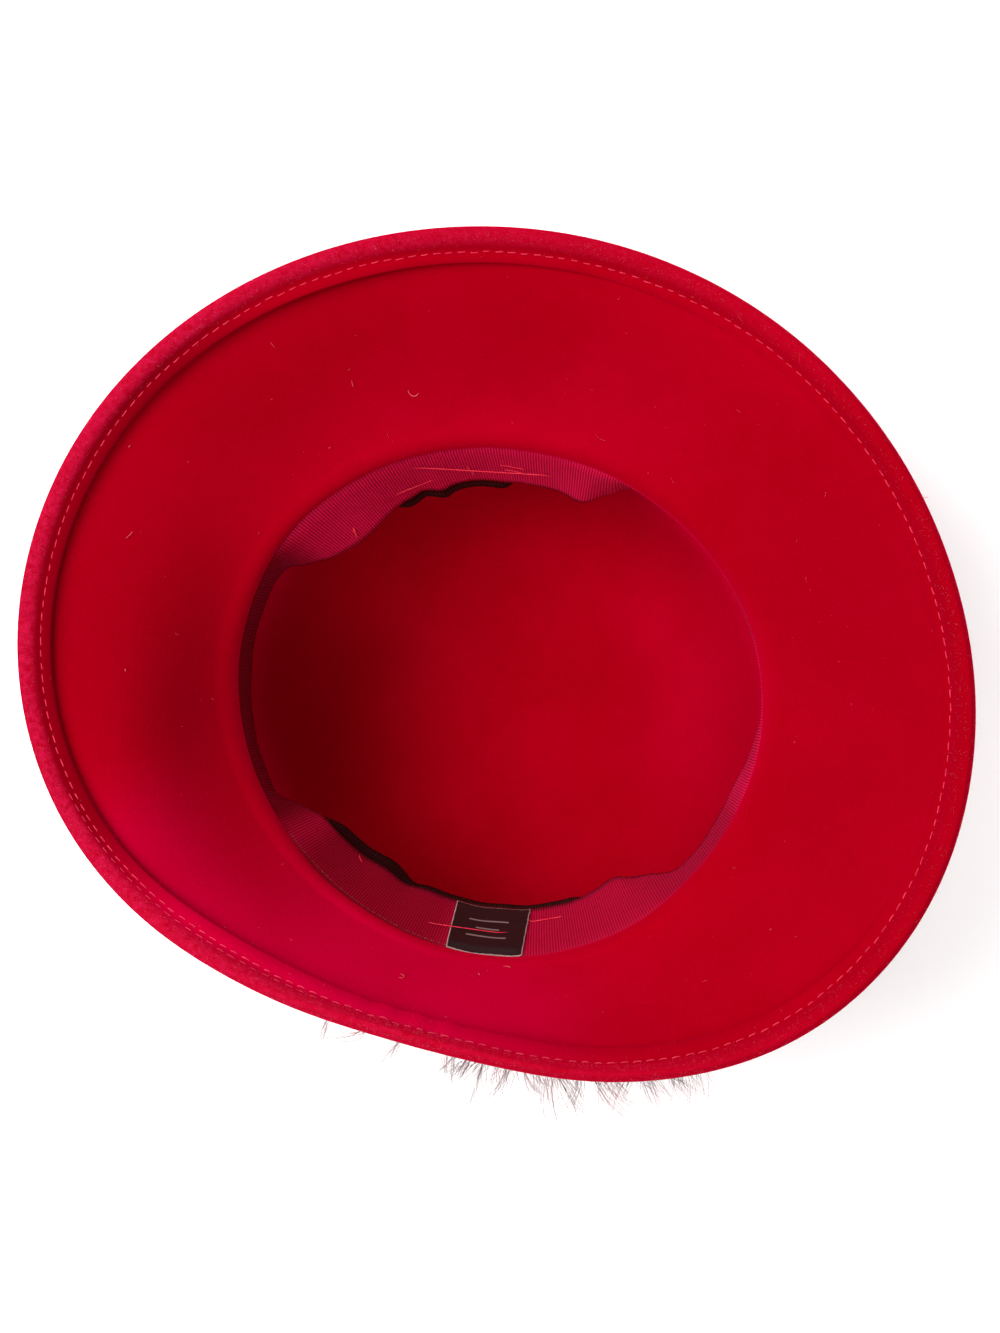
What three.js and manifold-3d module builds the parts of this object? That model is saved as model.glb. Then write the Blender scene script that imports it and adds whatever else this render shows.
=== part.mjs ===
// A felt cloche hat, lying on its crown with the brim opening upwards. Millimetres, +Z up.
// The origin is the middle of the flat of the crown's tip, +Y is the front, +X the wearer's left.
import * as THREE from 'three';
import { mergeVertices } from 'three/addons/utils/BufferGeometryUtils.js';
import Module from 'manifold-3d';

const wasm = await Module();
wasm.setup();

// Driving dimensions.
const SEGMENTS = 90;
const FELT = 2.2;
const CLEARANCE = 0.3;
const THROAT_HEIGHT = 112;
const TIP_FLAT = 44;
const CORNER_HEIGHT = 62;
const CORNER_ROUNDNESS = 2.2;
const CROWN_BULGE = 4;
const BULGE_DEPTH = 38;
const THROAT_ROLL = 6;
const CREST = { over: 2, depth: 1.2 };
const HEM = { width: 9.5, foldBulge: 0.6, middleRise: 0.9, edgeRise: 0.8 };
const BAND_WIDTH = 30;
const BAND_THICKNESS = 0.8;
const BAND_TOP = 5;
const HUG = { share: 0.75, lean: 6 };
const TAPE_THICKNESS = 0.5;
const TAPE_GAP = 0.5;
const LABEL = { bearing: 265, along: 28, across: 28, thickness: 0.5, top: 0.2 };

// The brim, a row for each section round the head. Bearings run from the wearer's left (0)
// by the front (90). throat and reach are plan radii, rise is the rim above the throat, sway
// is how far the section swings into an S, and a swing under 1 has its steepest part early.
const BRIM_SECTIONS = [
  { bearing: 0, throat: 91, reach: 156, rise: 50, sway: 0.4, swing: 1 },
  { bearing: 45, throat: 89, reach: 155, rise: 47, sway: 0.4, swing: 1 },
  { bearing: 90, throat: 92, reach: 158, rise: 46, sway: 0.5, swing: 1.1 },
  { bearing: 135, throat: 98, reach: 167, rise: 44, sway: 0.5, swing: 0.9 },
  { bearing: 180, throat: 97, reach: 160, rise: 45, sway: 0.9, swing: 0.6 },
  { bearing: 225, throat: 91, reach: 127, rise: 53, sway: 0.6, swing: 0.7 },
  { bearing: 270, throat: 91, reach: 118, rise: 58, sway: 0.4, swing: 0.9 },
  { bearing: 315, throat: 91, reach: 148, rise: 54, sway: 0.4, swing: 1 },
];

// Where the sweatband leans in off the wall: between two bearings, over a ramp at each end.
const BAND_TURNS = [
  { from: 65, to: 145, ramp: 10, lean: 16 },
  { from: 120, to: 145, ramp: 20, lean: 6 },
  { from: 206, to: 310, ramp: 12, lean: 18 },
  { from: 230, to: 300, ramp: 25, lean: 9 },
  { from: 300, to: 350, ramp: 30, lean: 6 },
];

// Single ruffles of the sweatband's free edge. push is how far the edge comes in.
const BAND_RUFFLES = [
  { bearing: 66, spread: 4, push: -2 },
  { bearing: 71, spread: 4, push: 2 },
  { bearing: 100, spread: 5, push: -1 },
  { bearing: 140, spread: 6, push: 2 },
  { bearing: 208, spread: 4, push: -1 },
  { bearing: 240, spread: 5, push: -2 },
  { bearing: 300, spread: 6, push: 3 },
];

// Where the tape shows past the sweatband's free edge, and by how much.
const TAPE_SHOWS = [
  { from: 90, to: 120, ramp: 6, extra: 6 },
  { from: 210, to: 290, ramp: 8, extra: 3 },
];

// Shares of the way from the throat to the rim where a brim section has a point.
const BRIM_STEPS = [0.09, 0.18, 0.32, 0.5, 0.68, 0.84, 1];

// Depths below the throat where a section has a point on the crown's upright wall.
const WALL_DEPTHS = [28, 14, THROAT_ROLL];

const CORNER_STEPS = 6;

// The feather spray behind the back brim. width and thickness are half sizes of a lock at its
// root, starts and reach are shares of the brim's slope, and lift is how far a tip stands off.
// Reach and lift vary from lock to lock by reachTurn and liftTurn radians. stand is how many
// thicknesses the root stands off.
const SPRAY = {
  bearing: 272,
  fan: 31,
  locks: 13,
  radius: 105,
  width: 7,
  thickness: 1.8,
  tip: 0.2,
  starts: 0.06,
  reach: 0.84,
  reachVaries: 0.1,
  reachTurn: 2.4,
  lift: 13,
  liftVaries: 5,
  liftTurn: 1.7,
  stand: 1.3,
};
const BACKING = { width: 15, middle: 0.22, height: 0.2, thickness: 3.6, clearance: 0.3 };

const radians = THREE.MathUtils.degToRad;
const smooth = (x) => THREE.MathUtils.smoothstep(x, 0, 1);

// Bearing difference wrapped to -180..180.
function turnBetween(a, b) {
  return THREE.MathUtils.euclideanModulo(a - b + 180, 360) - 180;
}

// Runs a smooth periodic curve through one column of the sections.
function section(column, bearing) {
  const n = BRIM_SECTIONS.length;
  let sum = 0;
  for (const row of BRIM_SECTIONS) {
    const x = radians(turnBetween(bearing, row.bearing));
    const weight = Math.abs(x) < 1e-6 ? 1 : Math.sin(n * x / 2) / (n * Math.tan(x / 2));
    sum += row[column] * weight;
  }
  return sum;
}

// 1 between the row's two bearings, easing to 0 over its ramp.
function within(row, bearing) {
  const middle = (row.from + row.to) / 2;
  const half = (row.to - row.from) / 2;
  const away = Math.abs(turnBetween(bearing, middle)) - half;
  return 1 - smooth(away / row.ramp + 0.5);
}

function sumWithin(rows, column, bearing) {
  return rows.reduce((sum, row) => sum + row[column] * within(row, bearing), 0);
}

function at(bearing, radius, height) {
  const angle = radians(bearing);
  return new THREE.Vector3(radius * Math.cos(angle), radius * Math.sin(angle), height);
}

// How far the crown's inner wall stands out from the crest that overhangs it at the throat.
function wallWiden(depth) {
  const share = (depth - CREST.depth) / (THROAT_ROLL - CREST.depth);
  const lip = CREST.over * THREE.MathUtils.clamp(share, 0, 1);
  return lip + CROWN_BULGE * smooth(depth / BULGE_DEPTH);
}

// Middle of the felt in one section, from the crown's tip to the rim, as [radius, height].
function feltMiddle(bearing) {
  const half = FELT / 2;
  const throat = section('throat', bearing) + half;
  const span = section('reach', bearing) - half - throat;
  const rise = section('rise', bearing) - half;
  const sway = section('sway', bearing);
  const swing = section('swing', bearing);
  const widest = throat + CREST.over + CROWN_BULGE;
  const line = [[0, half], [TIP_FLAT, half]];
  for (let k = 1; k <= CORNER_STEPS; k += 1) {
    const turn = ((k / CORNER_STEPS) * Math.PI) / 2;
    const out = Math.sin(turn) ** (2 / CORNER_ROUNDNESS);
    const up = 1 - Math.cos(turn) ** (2 / CORNER_ROUNDNESS);
    line.push([TIP_FLAT + (widest - TIP_FLAT) * out, half + (CORNER_HEIGHT - half) * up]);
  }
  for (const depth of WALL_DEPTHS) {
    line.push([throat + wallWiden(depth), THROAT_HEIGHT - depth]);
  }
  line.push([throat, THROAT_HEIGHT - CREST.depth]);
  for (const t of BRIM_STEPS) {
    const lift = (1 - sway) * t + sway * smooth(t ** swing);
    line.push([throat + span * t, THROAT_HEIGHT + rise * lift]);
  }
  return line;
}

// Unit normals of a section's line, towards the hollow.
function lineNormals(line) {
  return line.map((_, k) => {
    const before = line[Math.max(k - 1, 0)];
    const after = line[Math.min(k + 1, line.length - 1)];
    const run = [after[0] - before[0], after[1] - before[1]];
    const length = Math.hypot(run[0], run[1]);
    return k === 0 ? [0, 1] : [-run[1] / length, run[0] / length];
  });
}

// Closed section of the felt: outer face, folded rim, hem, raw edge, inner face.
function feltSection(bearing) {
  const line = feltMiddle(bearing);
  const normals = lineNormals(line);
  const half = FELT / 2;
  const face = (k, off) => [line[k][0] + normals[k][0] * off, line[k][1] + normals[k][1] * off];
  const last = line.length - 1;
  const outer = line.map((_, k) => face(k, -half));
  const inner = line.slice(0, last).map((_, k) => face(k, half));
  const rim = line[last];
  const normal = normals[last];
  const along = [normal[1], -normal[0]];
  const hemPoint = (back, off) => [
    rim[0] - along[0] * back + normal[0] * off,
    rim[1] - along[1] * back + normal[1] * off,
  ];
  const fold = [hemPoint(-half, 0), hemPoint(-FELT * HEM.foldBulge, half), hemPoint(-half, FELT)];
  const hem = [hemPoint(0, FELT + half), hemPoint(HEM.width / 2, FELT + half * HEM.middleRise)];
  const rawEdge = [hemPoint(HEM.width, FELT + half * HEM.edgeRise), hemPoint(HEM.width, half)];
  const reversed = inner.filter((p, k) => k < last - 1).reverse();
  return [...outer, ...fold, ...hem, ...rawEdge, ...reversed];
}

// Turns a geometry into one clean closed mesh: shared corners, no triangle without area.
function closed(geometry) {
  geometry.deleteAttribute('normal');
  geometry.deleteAttribute('uv');
  const merged = mergeVertices(geometry, 1e-4);
  const index = merged.index.array;
  const kept = [];
  for (let i = 0; i < index.length; i += 3) {
    const [a, b, c] = [index[i], index[i + 1], index[i + 2]];
    if (a !== b && b !== c && c !== a) kept.push(a, b, c);
  }
  merged.setIndex(kept);
  merged.computeVertexNormals();
  return merged;
}

// Carries a closed section round the head, each patch split along its shorter diagonal.
// sectionAt gives [radius, height] pairs, run so that the faces point out of the solid.
function sweepRound(sectionAt) {
  const rings = Array.from({ length: SEGMENTS }, (_, s) => {
    const bearing = (360 * s) / SEGMENTS;
    return sectionAt(bearing).map(([r, z]) => at(bearing, r, z));
  });
  const count = rings[0].length;
  const corners = rings.flat();
  const index = [];
  for (let s = 0; s < SEGMENTS; s += 1) {
    const here = s * count;
    const next = ((s + 1) % SEGMENTS) * count;
    for (let k = 0; k < count - 1; k += 1) {
      const [a, b, c, d] = [here + k, here + k + 1, next + k + 1, next + k];
      const across = corners[a].distanceTo(corners[c]) < corners[b].distanceTo(corners[d]);
      index.push(...(across ? [a, d, c, a, c, b] : [a, d, b, d, c, b]));
    }
  }
  const geometry = new THREE.BufferGeometry().setFromPoints(corners);
  geometry.setIndex(index);
  return closed(geometry);
}

// Moves each corner of a geometry to where place puts it.
function warp(geometry, place) {
  const position = geometry.attributes.position;
  const corner = new THREE.Vector3();
  for (let i = 0; i < position.count; i += 1) {
    corner.fromBufferAttribute(position, i);
    position.setXYZ(i, ...place(corner).toArray());
  }
  return closed(geometry);
}

// A point off the middle of the sweatband as [radius, height], down being measured along the
// ribbon from the throat. It keeps its width where it leans, and hangs behind the crest. It
// hugs the wall where it leans less than HUG.lean.
function bandPoint(bearing, down, inwards) {
  const inset = CLEARANCE + TAPE_THICKNESS + TAPE_GAP + BAND_THICKNESS / 2;
  const lean = sumWithin(BAND_TURNS, 'lean', bearing);
  const away = down - BAND_TOP;
  const depth = BAND_TOP + away * Math.cos(radians(lean));
  const hug = Math.max(0, 1 - lean / HUG.lean);
  const share = away / BAND_WIDTH;
  const hugged = HUG.share * hug * (wallWiden(depth) - wallWiden(BAND_TOP));
  let push = away * Math.sin(radians(lean)) - hugged;
  for (const ruffle of BAND_RUFFLES) {
    const x = turnBetween(bearing, ruffle.bearing) / ruffle.spread;
    push += ruffle.push * Math.exp(-x * x) * share * share;
  }
  const top = section('throat', bearing) + wallWiden(BAND_TOP) - inset;
  return [top - push - inwards, THROAT_HEIGHT - depth];
}

// Closed section of a ribbon that follows the sweatband: faces at two offsets from its middle.
function ribbonSection(bearing, bottom, inwards, thickness) {
  const rows = [BAND_TOP, BAND_TOP + BAND_WIDTH / 3, BAND_TOP + (BAND_WIDTH * 2) / 3, bottom];
  const side = (off) => rows.map((down) => bandPoint(bearing, down, off));
  const inside = side(inwards + thickness / 2);
  const outside = side(inwards - thickness / 2).reverse();
  return [...inside, ...outside, inside[0]];
}

function buildSweatband() {
  const bottom = BAND_TOP + BAND_WIDTH;
  return sweepRound((b) => ribbonSection(b, bottom, 0, BAND_THICKNESS));
}

function buildTape() {
  const inwards = -(BAND_THICKNESS + TAPE_THICKNESS) / 2 - TAPE_GAP;
  const bottomAt = (b) => BAND_TOP + BAND_WIDTH - 1 + sumWithin(TAPE_SHOWS, 'extra', b);
  return sweepRound((b) => ribbonSection(b, bottomAt(b), inwards, TAPE_THICKNESS));
}

function buildLabel() {
  const box = new THREE.BoxGeometry(LABEL.along, LABEL.across, LABEL.thickness, 6, 4, 1);
  return warp(box, ({ x, y, z }) => {
    const down = BAND_TOP + LABEL.top + LABEL.across / 2 - y;
    const [around] = bandPoint(LABEL.bearing, down, 0);
    const bearing = LABEL.bearing - THREE.MathUtils.radToDeg(x / around);
    const inwards = BAND_THICKNESS / 2 + CLEARANCE + LABEL.thickness / 2 + z;
    return at(bearing, ...bandPoint(bearing, down, inwards));
  });
}

// A point off the outer face of the brim, t of the way from the throat to the rim.
function offBrim(bearing, t, off) {
  const line = feltMiddle(bearing);
  const normals = lineNormals(line);
  const first = line.length - 1 - BRIM_STEPS.length;
  const place = first + t * BRIM_STEPS.length;
  const k = Math.min(Math.floor(place), line.length - 2);
  const share = place - k;
  const mix = (list, c) => list[k][c] * (1 - share) + list[k + 1][c] * share;
  const away = FELT / 2 + CLEARANCE + off;
  return at(bearing, mix(line, 0) - mix(normals, 0) * away, mix(line, 1) - mix(normals, 1) * away);
}

function asSolid(geometry) {
  const mesh = new wasm.Mesh({
    numProp: 3,
    vertProperties: new Float32Array(geometry.attributes.position.array),
    triVerts: new Uint32Array(geometry.index.array),
  });
  return new wasm.Manifold(mesh);
}

function fromSolid(solid) {
  const mesh = solid.getMesh();
  const geometry = new THREE.BufferGeometry();
  geometry.setAttribute('position', new THREE.BufferAttribute(mesh.vertProperties, 3));
  geometry.setIndex(new THREE.BufferAttribute(mesh.triVerts, 1));
  geometry.computeVertexNormals();
  return geometry;
}

// One lock of the spray: a flat strip that tapers and lifts off the brim towards its tip.
function lock(number) {
  const spread = (number / (SPRAY.locks - 1)) * 2 - 1;
  const reach = SPRAY.reach + SPRAY.reachVaries * Math.cos(number * SPRAY.reachTurn);
  const lift = SPRAY.lift + SPRAY.liftVaries * Math.sin(number * SPRAY.liftTurn);
  const strip = new THREE.CylinderGeometry(1, 1, 1, 6, 6);
  return warp(strip, ({ x, y, z }) => {
    const t = y + 0.5;
    const taper = 1 - (1 - SPRAY.tip) * t * t;
    const bearing = SPRAY.bearing + SPRAY.fan * spread * t;
    const sideways = THREE.MathUtils.radToDeg((x * SPRAY.width * taper) / SPRAY.radius);
    const off = SPRAY.thickness * (SPRAY.stand + z * taper) + lift * t * t;
    return offBrim(bearing + sideways, SPRAY.starts + reach * t, off);
  });
}

function buildSpray() {
  const pad = new THREE.CylinderGeometry(1, 1, 1, 16, 1);
  const backing = warp(pad, ({ x, y, z }) => {
    const bearing = SPRAY.bearing + THREE.MathUtils.radToDeg((x * BACKING.width) / SPRAY.radius);
    const off = BACKING.clearance + (y + 0.5) * BACKING.thickness;
    return offBrim(bearing, BACKING.middle - BACKING.height * z, off);
  });
  let spray = asSolid(backing);
  for (let number = 0; number < SPRAY.locks; number += 1) {
    spray = spray.add(asSolid(lock(number)));
  }
  return fromSolid(spray);
}

function finish(color, roughness) {
  return new THREE.MeshStandardMaterial({ color, roughness, metalness: 0 });
}

const group = new THREE.Group();

function addPiece(name, geometry, material) {
  const mesh = new THREE.Mesh(geometry, material);
  mesh.name = name;
  group.add(mesh);
}

addPiece('felt_body', sweepRound(feltSection), finish(0xbb0119, 0.95));
addPiece('sweatband', buildSweatband(), finish(0x9c1436, 0.7));
addPiece('size_tape', buildTape(), finish(0x1c0608, 0.75));
addPiece('label', buildLabel(), finish(0x2c0a0c, 0.5));
addPiece('feather_spray', buildSpray(), finish(0x4a3638, 0.9));

export default group;
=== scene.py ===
"""A felt cloche hat lying on its crown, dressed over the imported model.

Shapes are worked out in millimetres and put into meshes in metres. Bearings are in degrees
round the head, from the wearer's left (0) by the front (90).
"""

from __future__ import annotations

import logging
import math
from dataclasses import dataclass, field
from enum import Enum
from typing import Any, Sequence

import bpy
import numpy as np
from mathutils import Matrix, Vector

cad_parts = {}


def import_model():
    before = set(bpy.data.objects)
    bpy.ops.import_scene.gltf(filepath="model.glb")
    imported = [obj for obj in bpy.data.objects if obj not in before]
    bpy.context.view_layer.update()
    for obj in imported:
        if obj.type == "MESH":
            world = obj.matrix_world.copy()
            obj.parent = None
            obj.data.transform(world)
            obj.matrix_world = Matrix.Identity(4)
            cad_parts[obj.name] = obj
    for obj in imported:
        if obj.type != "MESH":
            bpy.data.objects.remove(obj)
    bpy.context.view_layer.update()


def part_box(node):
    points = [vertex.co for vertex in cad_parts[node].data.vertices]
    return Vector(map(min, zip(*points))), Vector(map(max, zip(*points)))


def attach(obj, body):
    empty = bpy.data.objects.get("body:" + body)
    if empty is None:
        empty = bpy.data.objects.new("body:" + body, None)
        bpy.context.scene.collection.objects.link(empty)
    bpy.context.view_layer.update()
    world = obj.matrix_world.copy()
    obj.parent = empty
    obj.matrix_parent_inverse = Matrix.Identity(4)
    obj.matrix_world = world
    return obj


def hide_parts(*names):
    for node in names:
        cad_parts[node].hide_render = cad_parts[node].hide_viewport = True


log = logging.getLogger("cloche")
Array = np.ndarray
MM = 0.001


class Slot(str, Enum):
    """The record's material slots."""

    FELT = "felt"
    BAND = "band_ribbon"
    TAPE = "black_tape"
    LABEL = "label_satin"
    FEATHER = "feather"


# ---------------------------------------------------------------- small sums


def ease(x: Array | float) -> Array:
    """Goes smoothly from 0 to 1 as x does.

    Args:
        x: where on the ramp, clipped to 0..1.

    Returns:
        3 x squared minus 2 x cubed.
    """
    x = np.clip(x, 0.0, 1.0)
    return x * x * (3.0 - 2.0 * x)


def turn_between(a: Array | float, b: Array | float) -> Array:
    """The difference of two bearings, wrapped to -180..180."""
    return (np.asarray(a, float) - b + 180.0) % 360.0 - 180.0


def hump(x: Array, middle: float, spread: float) -> Array:
    """A bell of height 1 at middle, falling to 1/e at spread from it."""
    return np.exp(-(((x - middle) / spread) ** 2))


def place(bearing: Array, radius: Array, height: Array) -> Array:
    """Points at bearings, plan radii and heights.

    Args:
        bearing: degrees round the head.
        radius: plan radius in millimetres.
        height: height in millimetres.

    Returns:
        An array of points with a last axis of 3.
    """
    bearing, radius, height = np.broadcast_arrays(bearing, radius, height)
    angle = np.radians(bearing)
    return np.stack([radius * np.cos(angle), radius * np.sin(angle), height], -1)


# ---------------------------------------------------------------- tables


@dataclass(frozen=True)
class BrimSection:
    """One section of the brim.

    throat and reach are plan radii, rise is the rim above the throat, sway is how far the
    section swings into an S, and a swing under 1 has its steepest part early.
    """

    bearing: float
    throat: float
    reach: float
    rise: float
    sway: float
    swing: float


@dataclass(frozen=True)
class Turn:
    """A stretch between two bearings, with a ramp at each end, and what it adds there."""

    start: float
    end: float
    ramp: float
    amount: float

    def share(self, bearing: Array) -> Array:
        """How far a bearing is inside the stretch.

        Args:
            bearing: degrees round the head.

        Returns:
            1 between the two bearings, easing to 0 over the ramp.
        """
        middle = (self.start + self.end) / 2
        half = (self.end - self.start) / 2
        away = np.abs(turn_between(bearing, middle)) - half
        return 1 - ease(away / self.ramp + 0.5)

    def adds(self, bearing: Array) -> Array:
        """The amount times the share."""
        return self.amount * self.share(bearing)


@dataclass(frozen=True)
class Ruffle:
    """A single ruffle of a ribbon's free edge. push is how far the edge comes in."""

    bearing: float
    spread: float
    push: float


@dataclass(frozen=True)
class Tack:
    """A loose thread on the sweatband, from one bearing and way down it to another."""

    start: float
    start_down: float
    end: float
    end_down: float
    bow: float
    thick: float


@dataclass(frozen=True)
class Lint:
    """A fibre lying on the brim: where, how long, how curled and which way it points."""

    bearing: float
    share: float
    length: float
    curl: float
    heading: float


BRIM_SECTIONS = (
    BrimSection(0, 91, 156, 50, 0.4, 1.0),
    BrimSection(45, 89, 155, 47, 0.4, 1.0),
    BrimSection(90, 91, 158, 46, 0.5, 1.1),
    BrimSection(135, 98, 167, 44, 0.5, 0.9),
    BrimSection(180, 97, 160, 45, 0.9, 0.6),
    BrimSection(225, 91, 127, 53, 0.6, 0.7),
    BrimSection(270, 91, 118, 58, 0.1, 0.9),
    BrimSection(315, 91, 148, 54, 0.4, 1.0),
)

# Where the ribbons lean in off the wall, in degrees of lean.
BAND_TURNS = (
    Turn(65, 145, 10, 16),
    Turn(120, 145, 20, 6),
    Turn(206, 310, 12, 18),
    Turn(230, 300, 25, 9),
    Turn(300, 350, 30, 6),
)

# The ruffles of the sweatband's free edge, in millimetres.
BAND_RUFFLES = (
    Ruffle(66, 4, -2.0),
    Ruffle(71, 4, 2.0),
    Ruffle(88, 3, -0.5),
    Ruffle(100, 5, -1.0),
    Ruffle(108, 2, 1.0),
    Ruffle(113, 2, -1.0),
    Ruffle(132, 8, 3.0),
    Ruffle(208, 4, -1.0),
    Ruffle(240, 5, -2.0),
    Ruffle(300, 6, 3.0),
    Ruffle(305, 3, -2.0),
)

# Where the ribbons are painted dark and dull, as a share: painted shade where they lie in
# shadow, and from 12 to 60 a dull red over the thin edge that shows under the crest.
BAND_PAINTED_SHADE = (
    Turn(145, 209, 9, 1.0),
    Turn(213, 258, 14, 0.85),
    Turn(266, 335, 10, 0.55),
    Turn(12, 60, 10, 0.5),
)

# How much deeper the tape's free edge hangs where it shows, in millimetres. The last row hangs
# it deeper still, so the black tape also fills the shaded gap behind the band: painted shade.
TAPE_SHOWS = (
    Turn(90, 120, 6, 6),
    Turn(210, 290, 8, 4),
    Turn(214, 240, 6, 3),
)

# The loose threads.
TACKS = (
    Tack(112, 11, 79, 21, 0.6, 0.19),
    Tack(119, 26, 109, 25, 0.4, 0.17),
    Tack(92, 18, 86, 20, 0.5, 0.18),
    Tack(91, 22, 86, 24, 0.6, 0.18),
    Tack(100, 19, 99, 28, 0.4, 0.30),
    Tack(132, 26, 133, 31, 0.9, 0.45),
    Tack(250, 15, 270, 18, 0.5, 0.15),
    Tack(275, 26, 284, 26, 0.4, 0.17),
    Tack(225, 32, 227, 29, 0.5, 0.16),
)

# The fibres caught on the brim.
LINT = (
    Lint(105, 0.3, 6.0, 3.0, 20),
    Lint(115, 0.4, 2.5, 0.5, 100),
    Lint(70, 0.9, 2.5, 0.5, 30),
    Lint(145, 0.8, 0.8, 0.2, 0),
    Lint(155, 0.6, 3.0, 0.5, 20),
    Lint(175, 0.5, 1.0, 0.2, 0),
    Lint(250, 0.4, 6.0, 4.0, 80),
    Lint(265, 0.2, 1.5, 0.3, 40),
    Lint(270, 0.1, 4.0, 0.8, 10),
    Lint(290, 0.8, 0.8, 0.2, 0),
    Lint(320, 0.5, 0.8, 0.2, 0),
    Lint(25, 1.0, 2.5, 0.4, 100),
)

# Where the label's middle is, and how far to each side a thread has to clear it.
LABEL_BEARING = 265.0
LABEL_REACH = 10.5


# ---------------------------------------------------------------- form of the hat


@dataclass(frozen=True)
class HatForm:
    """The hat's shape as functions of bearing and of the way along a section."""

    throat_height: float
    felt: float = 2.2
    tip_flat: float = 44.0
    corner_height: float = 62.0
    corner_roundness: float = 2.2
    crown_bulge: float = 4.0
    bulge_depth: float = 38.0
    crest_over: float = 2.0
    crest_depth: float = 1.2
    crest_pull: float = 3.4
    roll_depth: float = 6.0
    roll_share: float = 0.09
    hem_width: float = 9.5
    fold_bulge: float = 1.2
    channel: float = 1.0
    bead: float = 0.35
    thread_pull: float = 0.30
    pucker: float = 0.35
    pucker_waves: int = 62
    pucker_turn: Turn = Turn(246, 266, 6, 1.0)
    stitch_back: float = 6.6
    stitch_turn: Turn = Turn(235, 310, 60, 1.8)
    loose_turn: Turn = Turn(82, 318, 60, 1.0)

    def column(self, name: str, bearing: Array) -> Array:
        """A smooth periodic curve through one column of the brim's sections.

        Args:
            name: the column.
            bearing: degrees round the head.

        Returns:
            The column's value at each bearing: a sum of the rows, each weighted by a
            periodic sinc about its own bearing.
        """
        n = len(BRIM_SECTIONS)
        total = np.zeros_like(np.asarray(bearing, float))
        for row in BRIM_SECTIONS:
            x = np.radians(turn_between(bearing, row.bearing))
            near = np.abs(x) < 1e-6
            safe = np.where(near, 1.0, x)
            weight = np.sin(n * safe / 2) / (n * np.tan(safe / 2))
            total = total + getattr(row, name) * np.where(near, 1.0, weight)
        return total

    def wall_widen(self, depth: Array) -> Array:
        """How far the crown's wall stands out, at a depth, from the crest that overhangs it.

        Args:
            depth: millimetres below the throat.

        Returns:
            Millimetres outwards.
        """
        share = (depth - self.crest_depth) / (self.roll_depth - self.crest_depth)
        lip = self.crest_over * np.clip(share, 0.0, 1.0)
        return lip + self.crown_bulge * ease(depth / self.bulge_depth)

    def brim_line(self, bearing: Array, t: Array) -> tuple[Array, Array]:
        """Middle of the felt across the brim, t of the way from throat to rim.

        The radius grows evenly, and the height is a blend of a straight slope and an S
        whose steepest part is near the throat.

        Args:
            bearing: degrees round the head.
            t: the way from throat to rim, 0 to 1.

        Returns:
            Plan radius and height.
        """
        half = self.felt / 2
        throat = self.column("throat", bearing) + half
        span = self.column("reach", bearing) - half - throat
        rise = self.column("rise", bearing) - half
        sway = self.column("sway", bearing)
        swing = self.column("swing", bearing)
        lift = (1 - sway) * t + sway * ease(np.maximum(t, 1e-6) ** swing)
        return throat + span * t, self.throat_height + rise * lift

    def middle(self, bearing: Array, q: Array) -> tuple[Array, Array]:
        """Middle of the felt in a section.

        Args:
            bearing: degrees round the head.
            q: the way along: 0..1 the tip's flat, 1..2 the rounded corner, 2..3 the wall,
                3..4 the roll at the throat, 4..5 the brim.

        Returns:
            Plan radius and height.
        """
        bearing, q = np.broadcast_arrays(np.asarray(bearing, float), np.asarray(q, float))
        half = self.felt / 2
        throat = self.column("throat", bearing) + half
        widest = throat + self.crest_over + self.crown_bulge
        power = 2 / self.corner_roundness
        turn = np.clip(q - 1, 0, 1) * math.pi / 2
        corner_r = self.tip_flat + (widest - self.tip_flat) * np.sin(turn) ** power
        corner_z = half + (self.corner_height - half) * (1 - np.cos(turn) ** power)
        top_depth = self.throat_height - self.corner_height
        depth = top_depth + (self.roll_depth - top_depth) * np.clip(q - 2, 0, 1)
        start_r = throat + self.wall_widen(np.asarray(self.roll_depth))
        end_r, end_z = self.brim_line(bearing, np.full_like(q, self.roll_share))
        s = np.clip(q - 3, 0, 1)
        start_z = self.throat_height - self.roll_depth
        pull_r, pull_z = throat - self.crest_pull, self.throat_height - self.crest_depth
        roll_r = (1 - s) ** 2 * start_r + 2 * s * (1 - s) * pull_r + s * s * end_r
        roll_z = (1 - s) ** 2 * start_z + 2 * s * (1 - s) * pull_z + s * s * end_z
        t = self.roll_share + (1 - self.roll_share) * (q - 4)
        brim_r, brim_z = self.brim_line(bearing, t)
        cases = [q < 1, q < 2, q < 3, q < 4]
        flat_r = self.tip_flat * np.clip(q, 0, 1)
        flat_z = np.full_like(q, half)
        wall_r = throat + self.wall_widen(depth)
        wall_z = self.throat_height - depth
        radius = np.select(cases, [flat_r, corner_r, wall_r, roll_r], brim_r)
        height = np.select(cases, [flat_z, corner_z, wall_z, roll_z], brim_z)
        return radius, height

    def normal(self, bearing: Array, q: Array) -> tuple[Array, Array]:
        """Unit normal towards the hollow: a section's direction turned a quarter.

        Args:
            bearing: degrees round the head.
            q: the way along the section, as in middle.

        Returns:
            Its part along the plan radius and its part upwards.
        """
        step = 0.004
        r0, z0 = self.middle(bearing, np.maximum(q - step, 0.001))
        r1, z1 = self.middle(bearing, np.minimum(q + step, 5.0))
        dr, dz = r1 - r0, z1 - z0
        length = np.hypot(dr, dz) + 1e-9
        return -dz / length, dr / length

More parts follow.
